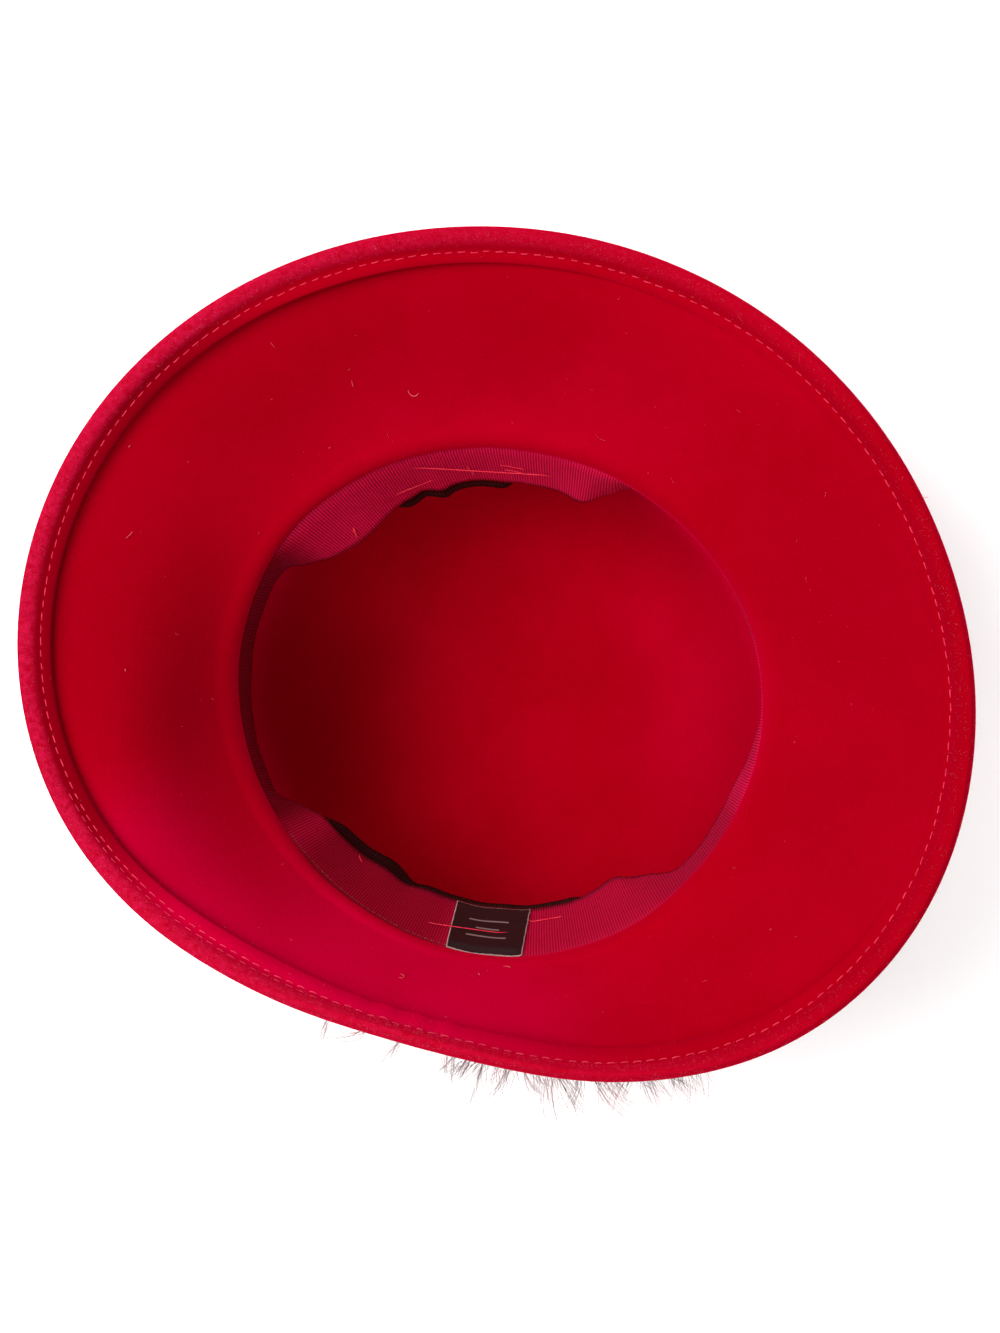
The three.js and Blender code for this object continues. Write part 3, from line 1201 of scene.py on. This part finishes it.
@dataclass
class ThroatRibbon:
    """How the ribbons at the throat lie: a surface by bearing and depth."""

    form: HatForm
    width: float = 30.0
    top: float = 5.0
    band_thickness: float = 0.8
    tape_thickness: float = 0.5
    tape_gap: float = 0.5
    clearance: float = 0.3
    top_flare: float = 1.1
    tape_top: float = 8.0
    hug_share: float = 0.75
    hug_lean: float = 6.0

    def lean(self, bearing: Array) -> Array:
        """How far the ribbons lean in off the wall, in degrees."""
        return sum(turn.adds(bearing) for turn in BAND_TURNS)

    def depth(self, bearing: Array, down: Array) -> Array:
        """How far below the throat a place lies, less where the ribbon leans."""
        return self.top + (down - self.top) * np.cos(np.radians(self.lean(bearing)))

    def radius(self, bearing: Array, down: Array) -> Array:
        """Plan radius of the sweatband's middle, some way down the ribbon.

        The throat less what lies behind the band, out where it hugs the bulging wall, in
        where it leans, in again at each ruffle, which grows with the way down squared, and
        out to the felt that it is sewn to at its top.

        Args:
            bearing: degrees round the head.
            down: millimetres down the ribbon from the throat.

        Returns:
            Plan radius in millimetres.
        """
        inset = self.clearance + self.tape_thickness + self.tape_gap + self.band_thickness / 2
        lean = self.lean(bearing)
        away = down - self.top
        hug = np.maximum(0.0, 1 - lean / self.hug_lean)
        share = away / self.width
        at_top = self.form.wall_widen(np.asarray(self.top))
        hugged = self.form.wall_widen(self.depth(bearing, down)) - at_top
        push = away * np.sin(np.radians(lean)) - self.hug_share * hug * hugged
        for ruffle in BAND_RUFFLES:
            x = turn_between(bearing, ruffle.bearing) / ruffle.spread
            push = push + ruffle.push * np.exp(-x * x) * share * share
        a = np.radians(bearing)
        ripple = 0.25 * np.sin(23 * a + 1) * np.sin(7 * a) * share
        sewn = self.top_flare * (1 - ease((down - self.top) / 4.0))
        return self.form.column("throat", bearing) + at_top - inset - push - ripple + sewn

    def point(self, bearing: Array, down: Array, inwards: Array | float) -> Array:
        """A point off the sweatband's middle, towards the hollow."""
        radius = self.radius(bearing, down) - inwards
        return place(bearing, radius, self.form.throat_height - self.depth(bearing, down))

    def loop(
        self,
        name: str,
        slot: Slot,
        finish: RibbonFinish,
        inwards: float,
        thickness: float,
        rows: tuple[float, Array | float],
        rib_rise: float,
        samples: int,
    ) -> bpy.types.Object:
        """A ribbon all round the throat, with real ribs across its width.

        Args:
            name: the piece's name.
            slot: the record's slot.
            finish: its material.
            inwards: how far its middle lies inside the sweatband's.
            thickness: the ribbon's thickness.
            rows: how far down the ribbon's top and its free edge lie, the second by degree.
            rib_rise: how far a rib stands up.
            samples: points along each rib.

        Returns:
            The piece.
        """
        length = 2 * math.pi * float(np.mean(self.form.column("throat", np.arange(360.0))))
        ribs = round(length / finish.pitch)
        columns = ribs * samples
        bearing = (np.arange(columns) * 360 / columns)[None, :]
        top, bottom = rows[0], np.interp(bearing, np.arange(360.0), rows[1], period=360)
        share = np.linspace(0, 1, 11)[:, None]
        down = top + (bottom - top) * share
        curled = inwards + 0.35 * np.maximum(down - self.top - self.width, 0)
        rib = rib_rise * np.cos(2 * math.pi * np.arange(columns) / samples)[None, :]
        inside = self.point(bearing, down, curled + thickness / 2 + rib)
        outside = self.point(bearing, down[::-1], curled[::-1] - thickness / 2 + rib * 0.5)
        points = np.concatenate([inside, outside])
        number = len(points)
        cells = grid_quads(number, columns, True, True)
        numbers = quad_numbers(cells, number, columns)
        across = np.concatenate([share, share[::-1]])[:, 0] * self.width
        u = cells[..., 1] * finish.pitch / samples
        v = across[cells[..., 0] % number]
        parts = MeshParts()
        parts.add(points, [numbers], [np.stack([u, v], -1).reshape(-1, 2)])
        piece = parts.build(name, finish.make(), slot)
        # Painted shade: how far the ribbon is darkened and dulled at each bearing.
        ribbon_painted_shade = sum(turn.adds(bearing) for turn in BAND_PAINTED_SHADE)
        set_share(piece, "ribbon_painted_shade", np.minimum(ribbon_painted_shade, 1) * np.ones((number, 1)))
        return piece


@dataclass
class Sweatband:
    """The crimson ribbon, its seam at the throat and its loose tacking threads."""

    ribbon: ThroatRibbon
    finish: RibbonFinish = RibbonFinish(
        name="crimson_ribbon",
        # Painted shade in the rib valleys, a painted highlight on the crests, and the last colour
        # painted shade.
        valley=(0.350, 0.0010, 0.0240, 1.0),
        crest=(0.740, 0.0080, 0.0750, 1.0),
        pitch=1.05,
        sheen=0.12,
        bloom=(1.0, 0.05, 0.2, 1.0),
        painted_shade_colour=(0.190, 0.0000, 0.0060, 1.0),
    )
    seam_pitch: float = 2.4
    seam_stitch: float = 1.9
    seam_from: float = 212.0
    seam_to: float = 262.0
    seam_radius: float = 91.0
    seam_down: float = 6.8
    seam_thick: float = 0.08
    rib_rise: float = 0.09
    tack_off: float = 0.5
    thread_off_band: float = 0.75
    thread_off_label: float = 1.25

    def build(self) -> bpy.types.Object:
        """Returns:
            The piece.
        """
        r = self.ribbon
        rows = (r.top, np.full(360, r.top + r.width))
        thick = r.band_thickness * 0.7
        piece = r.loop(
            "sweatband_ribbon", Slot.BAND, self.finish, 0.0, thick, rows, self.rib_rise, 5
        )
        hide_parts("sweatband")
        return piece

    def seam(self) -> bpy.types.Object:
        """Small stitches along the ribbon's top edge, where they show at the back.

        Returns:
            The piece.
        """
        degree = 360 / (2 * math.pi * self.seam_radius)
        middle = np.arange(self.seam_from, self.seam_to, self.seam_pitch * degree)
        step = np.linspace(-0.5, 0.5, 5)
        bearing = middle[:, None] + step[None, :] * self.seam_stitch * degree
        arch = 0.22 * (1 - 4 * step**2)[None, :]
        paths = self.ribbon.point(bearing, np.full_like(bearing, self.seam_down), 0.32 + arch)
        thick = np.array(self.seam_thick)
        return tube_piece("sweatband_seam", SEAM_THREAD, Slot.BAND, paths, thick, 5)

    def tacks(self) -> bpy.types.Object:
        """Loose threads, each nearly straight between its ends and a little bowed.

        Returns:
            The piece.
        """
        step = np.linspace(0, 1, 14)
        wiggle = np.sin(step * 9.0)
        paths = []
        for tack in TACKS:
            ends = [
                self.ribbon.point(np.array(tack.start), np.array(tack.start_down), self.tack_off),
                self.ribbon.point(np.array(tack.end), np.array(tack.end_down), self.tack_off),
            ]
            line = ends[0] * (1 - step[:, None]) + ends[1] * step[:, None]
            line[:, 2] += tack.bow * np.sin(step * math.pi) + 0.12 * wiggle
            paths.append(self._outside_ribbon(line))
        paths = np.stack(paths)
        thick = np.array([tack.thick for tack in TACKS])[:, None]
        radius = thick * (1 - 0.5 * np.abs(2 * step - 1) ** 6)
        return tube_piece("tacking_threads", TACKING_THREAD, Slot.BAND, paths, radius, 6)

    def _outside_ribbon(self, line: Array) -> Array:
        """Moves a line's points in, so that none lies inside the ribbon or the label.

        Args:
            line: points in millimetres, (points, 3).

        Returns:
            The moved points.
        """
        bearing = np.degrees(np.arctan2(line[:, 1], line[:, 0])) % 360
        depth = self.ribbon.form.throat_height - line[:, 2]
        top = self.ribbon.top
        down = top + (depth - top) / np.cos(np.radians(self.ribbon.lean(bearing)))
        on_label = np.abs(turn_between(bearing, LABEL_BEARING)) < LABEL_REACH
        off = np.where(on_label, self.thread_off_label, self.thread_off_band)
        limit = self.ribbon.radius(bearing, down) - off
        plan = np.hypot(line[:, 0], line[:, 1])
        scale = np.minimum(1.0, limit / plan)
        moved = line.copy()
        moved[:, :2] *= scale[:, None]
        return moved


@dataclass
class SizeTape:
    """The black ribbed tape behind the sweatband."""

    ribbon: ThroatRibbon
    finish: RibbonFinish = RibbonFinish(
        name="black_tape",
        # Painted shade in the rib valleys, a painted highlight on the crests, and the last colour
        # painted shade.
        valley=(0.006, 0.0006, 0.0006, 1.0),
        crest=(0.028, 0.0020, 0.0020, 1.0),
        pitch=1.4,
        sheen=0.05,
        bloom=(1.0, 0.2, 0.2, 1.0),
        painted_shade_colour=(0.012, 0.0010, 0.0010, 1.0),
    )
    rib_rise: float = 0.06

    def build(self) -> bpy.types.Object:
        """Makes the tape, deeper than the sweatband where it shows.

        Returns:
            The piece.
        """
        r = self.ribbon
        inwards = -((r.band_thickness + r.tape_thickness) / 2 + r.tape_gap)
        degrees = np.arange(360.0)
        extra = sum(show.adds(degrees) for show in TAPE_SHOWS)
        rows = (r.tape_top, r.top + r.width - 1 + extra)
        thick = r.tape_thickness
        piece = r.loop(
            "size_tape_ribbon", Slot.TAPE, self.finish, inwards, thick, rows, self.rib_rise, 4
        )
        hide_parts("size_tape")
        return piece


@dataclass
class WovenLabel:
    """The label over the sweatband at the back, without any words."""

    ribbon: ThroatRibbon
    bearing: float = LABEL_BEARING
    along: float = 28.0
    across: float = 28.0
    thickness: float = 0.35
    top: float = 0.2
    off_band: float = 0.35
    samples: int = 56

    def build(self) -> bpy.types.Object:
        """Lays a thin wavy sheet on the sweatband's face and closes it round its edges.

        Returns:
            The piece.
        """
        n = self.samples
        x, y = np.meshgrid(np.linspace(0, self.along, n), np.linspace(0, self.across, n))
        edge_x = np.minimum(x, self.along - x)
        curl = 0.5 * np.exp(-edge_x / 1.5) * (0.6 + 0.4 * np.sin(y * 0.9))
        wave = 0.16 * np.sin(x * 0.42 + 0.6) * np.sin(y * 0.3 + 1)
        ragged = 0.12 * np.sin(x * 7.3) * np.sin(x * 2.9 + 1)
        fray = ragged * ((y < 0.3) | (y > self.across - 0.3))
        down = self.ribbon.top + self.top + y + fray
        around = self.ribbon.radius(np.full_like(down, self.bearing), down)
        bearing = self.bearing + np.degrees((x - self.along / 2) / around)
        lift = self.ribbon.band_thickness / 2 + self.off_band + curl + wave * 0.8
        front = self.ribbon.point(bearing, down, lift + self.thickness)
        back = self.ribbon.point(bearing, down, lift)
        cells = grid_quads(n, n, False, False)
        numbers = quad_numbers(cells, n, n)
        rim = self._border(n)
        step = np.roll(rim, -1)
        sides = np.stack([rim, step, step + n * n, rim + n * n], -1)
        uv = np.stack([x[cells[..., 0], cells[..., 1]], y[cells[..., 0], cells[..., 1]]], -1)
        side_uv = np.stack([x.ravel()[sides % (n * n)], y.ravel()[sides % (n * n)]], -1)
        parts = MeshParts()
        faces = [numbers, numbers[:, ::-1] + n * n, sides[:, ::-1]]
        uvs = [uv.reshape(-1, 2), uv[:, ::-1].reshape(-1, 2), side_uv[:, ::-1].reshape(-1, 2)]
        parts.add(np.stack([front, back]), faces, uvs)
        material = SatinFinish().make(self.along, self.across)
        piece = parts.build("woven_label", material, Slot.LABEL)
        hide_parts("label")
        return piece

    @staticmethod
    def _border(n: int) -> Array:
        """Point numbers round the edge of an n by n grid, in order."""
        k = np.arange(n - 1)
        return np.concatenate([k, k * n + n - 1, n * n - 1 - k, (n - 1 - k) * n])


# ---------------------------------------------------------------- hem, nap and lint


@dataclass
class HemStitches:
    """The running stitch along the hem, with a second row where it was sewn twice."""

    form: HatForm
    pitch: float = 4.2
    stitch: float = 2.7
    thread: float = 0.19
    second_thread: float = 0.12
    second_closer: float = 1.5
    second_from: float = 192.0
    second_to: float = 240.0

    def _row(self, closer: float, start: float, end: float) -> Array:
        """Stitches of equal length between two bearings.

        Args:
            closer: how much closer to the rim it runs than the main row.
            start: first bearing.
            end: last bearing.

        Returns:
            Paths, (stitches, steps, 3). Bearings come from the length measured along
            the row.
        """
        fine = np.linspace(start, end, 1441)
        line = self.form.hem_point(fine, self.form.stitch_line(fine) - closer, 0.0)
        length = np.concatenate([[0], np.cumsum(np.linalg.norm(np.diff(line, axis=0), axis=1))])
        count = int(length[-1] / self.pitch)
        rng = np.random.default_rng(7)
        middle = (np.arange(count) + 0.5) * length[-1] / count + rng.normal(0, 0.12, count)
        step = np.linspace(-0.5, 0.5, 7)
        size = self.stitch * rng.uniform(0.85, 1.12, count)
        where = middle[:, None] + step[None, :] * size[:, None]
        bearing = np.interp(where, length, fine)
        slant = rng.normal(0, 0.10, count)[:, None] + 0.12 * step[None, :]
        over = 0.20 - 1.7 * np.abs(step)[None, :] ** 3 * 2
        return self.form.hem_point(bearing, self.form.stitch_line(bearing) - closer + slant, over)

    def build(self) -> bpy.types.Object:
        """Makes both rows as short tubes whose ends dive into the felt.

        Returns:
            The piece.
        """
        parts = MeshParts()
        rows = (
            (0.0, 0.0, 360.0, self.thread),
            (self.second_closer, self.second_from, self.second_to, self.second_thread),
        )
        for closer, start, end, thick in rows:
            paths = self._row(closer, start, end)
            tube_parts(parts, paths, np.full(paths.shape[:2], thick), 7)
        return parts.build("hem_stitches", HEM_THREAD.make(), Slot.FELT)


@dataclass
class FeltNap:
    """Loose fibres of the felt: fuzz on the rim, specks and strands on the brim."""

    form: HatForm
    rim_fibres: int = 9000
    fuzz_spread: float = 3.2
    fuzz_radius: float = 0.028
    lint_fibres: int = 130
    lint_radius: float = 0.06
    strand_radius: float = 0.11
    brim_middle: float = 120.0
    brim_width: float = 70.0

    @staticmethod
    def _fibres(root: Array, lean: Array, length: Array, radius: float) -> tuple[Array, Array]:
        """Thin bent fibres.

        Args:
            root: where each starts, (fibres, 3).
            lean: where each points, (fibres, 3). A random bend is added towards its tip.
            length: each one's length.
            radius: radius at the root.

        Returns:
            Their paths, (fibres, steps, 3), and the radii along a path.
        """
        step = np.linspace(0, 1, 4)
        rng = np.random.default_rng(19)
        bend = rng.normal(0, 0.45, root.shape)
        along = lean[:, None, :] * step[None, :, None]
        along = along + bend[:, None, :] * (step**2)[None, :, None]
        return root[:, None, :] + along * length[:, None, None], radius * (1 - 0.8 * step)

    def rim_fuzz(self) -> bpy.types.Object:
        """Short fibres standing off the fold, and fewer over the hem.

        Returns:
            The piece.
        """
        form = self.form
        rng = np.random.default_rng(3)
        n = self.rim_fibres
        bearing = rng.uniform(0, 360, n)
        back = np.abs(rng.normal(0, self.fuzz_spread, n)) - 0.8
        back = np.minimum(back, form.hem_width)
        inside = np.maximum(back, 0)
        root = form.hem_point(bearing, inside, -0.15)
        q = np.minimum(form.q_back(bearing, inside), 4.99)
        nr, nz = form.normal(bearing, q)
        normal = place(bearing, nr, nz)
        outward = place(bearing, nz, -nr)
        folded = ease((0.9 - back) / 1.7)[:, None]
        root = root + outward * folded * 1.9 - normal * folded * 1.6
        aim = normal * (1 - 0.6 * folded) + outward * 0.9 * folded
        lean = aim + rng.normal(0, 0.7, (n, 3))
        length = rng.gamma(3.0, 0.16, n)
        paths, thick = self._fibres(root, lean, length, self.fuzz_radius)
        return tube_piece("rim_fuzz", FELT_NAP, Slot.FELT, paths, thick, 3)

    def brim_lint(self) -> bpy.types.Object:
        """Small pale specks scattered over the brim.

        Returns:
            The piece.
        """
        rng = np.random.default_rng(11)
        n = self.lint_fibres
        bearing = rng.uniform(0, 360, n)
        share = rng.uniform(0.08, 0.8, n)
        root = self.form.brim_point(bearing, share, 0.05)
        lean = rng.normal(0, 1, (n, 3)) * [1, 1, 0.25]
        paths, thick = self._fibres(root, lean, rng.gamma(2.0, 0.22, n), self.lint_radius)
        return tube_piece("brim_lint", BRIM_LINT, Slot.FELT, paths, thick, 3)

    def strands(self) -> bpy.types.Object:
        """A few longer curled fibres caught on the felt.

        Returns:
            The piece.
        """
        step = np.linspace(-0.5, 0.5, 12)
        paths = []
        for lint in LINT:
            angle = math.radians(lint.heading) + lint.curl * step
            across = np.cumsum(np.cos(angle)) * lint.length / len(step)
            along = np.cumsum(np.sin(angle)) * lint.length / len(step)
            bearing = lint.bearing + np.degrees(across / self.brim_middle)
            share = lint.share + along / self.brim_width
            paths.append(self.form.brim_point(bearing, share, 0.3))
        paths = np.stack(paths)
        taper = self.strand_radius * (1 - np.abs(2 * step) ** 3 * 0.7)
        return tube_piece("caught_strands", CAUGHT_STRAND, Slot.FELT, paths, taper, 5)


# ---------------------------------------------------------------- feathers


@dataclass
class FeatherSpray:
    """The spray behind the back brim: quills on a backing, their barbs, and loose tufts."""

    form: HatForm
    bearing: float = 272.0
    fan: float = 31.0
    locks: int = 13
    starts: float = 0.06
    reach: float = 0.84
    reach_varies: float = 0.10
    short_by: float = 0.45
    short_below: float = 4.5
    short_ramp: float = 3.0
    quill_off: float = 2.2
    lift: float = 13.0
    lift_varies: float = 5.0
    arc_radius: float = 105.0
    quill_radius: float = 0.42
    quill_end: float = 0.84
    pad_radius: float = 14.0
    pad_middle: float = 0.22
    pad_half: float = 0.19
    pad_dome: float = 3.4
    pad_off: float = 0.35
    barbs: int = 250
    barb_shortest: float = 6.0
    barb_longest: float = 17.0
    barb_radius: float = 0.045
    barb_curl: float = 0.28
    barb_stray: float = 0.22
    tufts: int = 22
    hairs: int = 20
    wisps_from: float = 264.0
    wisps_to: float = 299.0
    strays: tuple[float, ...] = (242.0, 248.0, 254.0)
    wisp_length: float = 17.0
    wisp_radius: float = 0.075
    wisp_off: float = 3.0
    longest_at: float = 282.0
    longest_spread: float = 8.0
    tuft_turn: float = 22.0
    hair_turn: float = 9.0
    tuft_drift: float = 0.35
    hair_drift: float = 0.15

    def _quill(self, number: Array, t: Array) -> Array:
        """A point t of the way along a lock's quill. The first five locks fall short.

        Args:
            number: which lock, from 0.
            t: the way along it, 0 to 1.

        Returns:
            Points in millimetres, with a last axis of 3.
        """
        spread = number / (self.locks - 1) * 2 - 1
        reach = self.reach + self.reach_varies * np.cos(number * 2.4)
        reach = reach - self.short_by * ease((self.short_below - number) / self.short_ramp)
        lift = self.lift + self.lift_varies * np.sin(number * 1.7)
        bearing = self.bearing + self.fan * spread * t
        off = self.quill_off + lift * t * t
        return self.form.under_point(bearing, self.starts + reach * t, off)

    def quills(self) -> bpy.types.Object:
        """The tapered quills and the backing they are sewn to.

        Returns:
            The piece.
        """
        t = np.linspace(0, self.quill_end, 16)
        number = np.arange(self.locks)[:, None]
        paths = self._quill(number, t[None, :])
        thick = np.broadcast_to(self.quill_radius * (1 - 0.85 * t), paths.shape[:2])
        parts = MeshParts()
        tube_parts(parts, paths, thick, 6)
        self._backing(parts)
        return parts.build("feather_quills", FEATHER_QUILL.make(), Slot.FEATHER)

    def _backing(self, parts: MeshParts) -> None:
        """A small rounded pad under the quills' roots: a disc domed on its outer side.

        Args:
            parts: where it is added.
        """
        sides, rings = 40, 9
        turn = np.arange(sides) * 2 * math.pi / sides
        ring = np.linspace(0.02, 1, rings)
        dome = np.concatenate([ring, ring[::-1]])[:, None]
        domed = self.pad_off + self.pad_dome * np.sqrt(1 - ring**2 * 0.98)
        off = np.concatenate([domed, np.full(rings, self.pad_off)])[:, None]
        around = dome * self.pad_radius * np.cos(turn) / self.arc_radius
        share = self.pad_middle + self.pad_half * dome * np.sin(turn)
        points = self.form.under_point(self.bearing + np.degrees(around), share, off)
        quads = quad_numbers(grid_quads(2 * rings, sides, True, True), 2 * rings, sides)
        parts.add(points, [quads])

    def plume(self) -> bpy.types.Object:
        """Fine curled barbs along every quill, longer towards its middle.

        Returns:
            The piece.
        """
        rng = np.random.default_rng(31)
        n = self.locks * self.barbs
        number = np.repeat(np.arange(self.locks), self.barbs).astype(float)
        t = 0.04 + 0.92 * rng.beta(1.1, 1.5, n)
        side = rng.choice([-1.0, 1.0], n)
        root = self._quill(number, t)
        ahead = self._quill(number, np.minimum(t + 0.03, 1.0)) - root
        ahead /= np.linalg.norm(ahead, axis=1, keepdims=True) + 1e-9
        plan = np.degrees(np.arctan2(root[:, 1], root[:, 0]))
        across = place(plan + 90, np.ones(n), np.zeros(n)) * side[:, None]
        away = np.cross(across * side[:, None], ahead)
        fullness = 0.45 + 0.55 * np.sin(math.pi * np.clip(t, 0.1, 0.9))
        length = rng.uniform(self.barb_shortest, self.barb_longest, n) * fullness
        step = np.linspace(0, 1, 7)
        gathered = 1 - 0.8 * ease((t - 0.55) / 0.3)
        sweep = (rng.uniform(0.35, 0.9, n) * gathered)[:, None, None]
        curl = rng.normal(0, self.barb_curl, (n, 1, 1))
        s = step[None, :, None]
        shape = (
            ahead[:, None, :] * (s * 0.85)
            + across[:, None, :] * sweep * (s - 0.35 * s * s)
            + away[:, None, :] * (np.abs(curl) * s * s - 0.02)
            + rng.normal(0, self.barb_stray, (n, 1, 3)) * s * s
        )
        paths = root[:, None, :] + shape * length[:, None, None]
        thick = self.barb_radius * (1 - 0.75 * step)
        piece = tube_piece("feather_barbs", FEATHER_BARB, Slot.FEATHER, paths, thick, 3)
        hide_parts("feather_spray")
        return piece

    def wisps(self) -> bpy.types.Object:
        """Fine tufts past the rim, joined to nothing. Each leans its own way.

        Returns:
            The piece. A hair runs straight out from its root, drifts to one side with the
            square of the way along it, and lifts or droops a little.
        """
        rng = np.random.default_rng(47)
        tufts, hairs = self.tufts, self.hairs
        shape = (tufts, hairs)
        even = np.linspace(self.wisps_from, self.wisps_to, tufts - len(self.strays))
        middle = np.append(even, self.strays) + rng.normal(0, 0.8, tufts)
        bearing = middle[:, None] + rng.normal(0, 0.7, shape)
        root = self.form.under_point(bearing, rng.uniform(0.87, 0.97, shape), self.wisp_off)
        turn = rng.normal(0, self.tuft_turn, (tufts, 1)) + rng.normal(0, self.hair_turn, shape)
        heading = np.radians(bearing + turn)
        rise = 0.25 + rng.normal(0, 0.2, shape)
        out = np.stack([np.cos(heading), np.sin(heading), rise], -1)
        side = np.stack([-np.sin(heading), np.cos(heading), np.zeros(shape)], -1)
        drift = rng.normal(0, self.tuft_drift, (tufts, 1)) + rng.normal(0, self.hair_drift, shape)
        drift = drift[..., None, None]
        longest = (0.75 + 0.45 * hump(middle, self.longest_at, self.longest_spread))[:, None]
        size = self.wisp_length * longest * rng.uniform(0.6, 1.0, (tufts, 1))
        size = size * rng.uniform(0.4, 1.1, shape)
        step = np.linspace(0, 1, 8)
        s = step[:, None]
        line = out[:, :, None, :] * s + side[:, :, None, :] * drift * s * s
        paths = (root[:, :, None, :] + line * size[..., None, None]).reshape(-1, 8, 3)
        thick = self.wisp_radius * (1 - 0.75 * step)
        return tube_piece("feather_wisps", FEATHER_WISP, Slot.FEATHER, paths, thick, 3)


# ---------------------------------------------------------------- studio


@dataclass(frozen=True)
class Lamp:
    """A soft white light: where it stands, in metres, and its power in watts."""

    name: str
    at: tuple[float, float, float]
    power: float


LAMPS = (
    Lamp("window", (-0.75, 0.25, 1.4), 24.0),
    Lamp("ceiling", (0.0, 0.0, 1.6), 7.0),
    Lamp("room_front", (0.0, 1.2, 1.0), 9.0),
    Lamp("room_back", (0.0, -0.8, 1.4), 9.0),
)


@dataclass
class Studio:
    """Pale floor, soft light and the camera over the open hat."""

    camera_place: tuple[float, float, float] = (55.0, -5.0, 730.0)
    camera_aim: tuple[float, float, float] = (-1.5, 12.5, 112.0)
    lens: float = 47.0
    sensor: float = 36.0
    nearest: float = 0.01
    lamp_size: float = 0.9
    lamp_aim: tuple[float, float, float] = (0.0, 0.0, 0.10)
    floor_half: float = 4.0
    floor_sink: float = 0.0002
    floor_grey: Colour = (0.94, 0.94, 0.94, 1.0)
    floor_glow: float = 0.25
    room_tint: Colour = (1.0, 0.99, 0.98, 1.0)
    room_glow: float = 0.05

    def floor(self) -> None:
        """A wide pale floor at the height that the hat rests on."""
        mesh = bpy.data.meshes.new("floor")
        s, z = self.floor_half, -self.floor_sink
        mesh.from_pydata([(-s, -s, z), (s, -s, z), (s, s, z), (-s, s, z)], [], [(0, 1, 2, 3)])
        sheet = ShaderSheet("pale_floor")
        material = sheet.finish(
            {
                "Base Color": self.floor_grey,
                "Roughness": 0.9,
                "Emission Color": (1.0, 1.0, 1.0, 1.0),
                "Emission Strength": self.floor_glow,
            }
        )
        mesh.materials.append(material)
        floor = bpy.data.objects.new("floor", mesh)
        bpy.context.scene.collection.objects.link(floor)

    @staticmethod
    def _facing(place_at: Vector, aim: Vector) -> Matrix:
        """A turn that looks from one point to another with +Y up in the picture.

        Args:
            place_at: where it stands.
            aim: the point it looks at.

        Returns:
            The matrix of an object that looks down its own -Z.
        """
        forward = (aim - place_at).normalized()
        right = forward.cross(Vector((0, 1, 0))).normalized()
        up = right.cross(forward)
        turn = Matrix((right, up, -forward)).transposed()
        return Matrix.Translation(place_at) @ turn.to_4x4()

    def light(self, lamp: Lamp) -> None:
        """One square soft light aimed at the hat.

        Args:
            lamp: where it stands and its power.
        """
        glow = bpy.data.lights.new(lamp.name, "AREA")
        glow.size = self.lamp_size
        glow.energy = lamp.power
        holder = bpy.data.objects.new(lamp.name, glow)
        holder.matrix_world = self._facing(Vector(lamp.at), Vector(self.lamp_aim))
        bpy.context.scene.collection.objects.link(holder)

    def build(self) -> None:
        """Sets floor, world, lights, colour view and camera."""
        scene = bpy.context.scene
        self.floor()
        world = bpy.data.worlds.new("soft_room")
        world.use_nodes = True
        background = world.node_tree.nodes["Background"]
        background.inputs[0].default_value = self.room_tint
        background.inputs[1].default_value = self.room_glow
        scene.world = world
        for lamp in LAMPS:
            self.light(lamp)
        scene.view_settings.view_transform = "Standard"
        scene.view_settings.look = "None"
        camera = bpy.data.cameras.new("camera")
        camera.lens = self.lens
        camera.sensor_width = self.sensor
        camera.clip_start = self.nearest
        holder = bpy.data.objects.new("camera", camera)
        where = Vector(self.camera_place) * MM
        holder.matrix_world = self._facing(where, Vector(self.camera_aim) * MM)
        scene.collection.objects.link(holder)
        scene.camera = holder


# ---------------------------------------------------------------- the hat


def main() -> None:
    """Loads the frame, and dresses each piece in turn."""
    logging.basicConfig(level=logging.INFO, format="%(message)s")
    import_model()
    band_top = 5.0
    throat_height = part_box("sweatband")[1].z / MM + band_top
    form = HatForm(throat_height=throat_height)
    ribbon = ThroatRibbon(form, top=band_top)
    Studio().build()
    FeltBody(form).build()
    band = Sweatband(ribbon)
    band.build()
    band.seam()
    band.tacks()
    SizeTape(ribbon).build()
    WovenLabel(ribbon).build()
    HemStitches(form).build()
    nap = FeltNap(form)
    nap.rim_fuzz()
    nap.brim_lint()
    nap.strands()
    spray = FeatherSpray(form)
    spray.quills()
    spray.plume()
    spray.wisps()


if __name__ == "__main__":
    main()
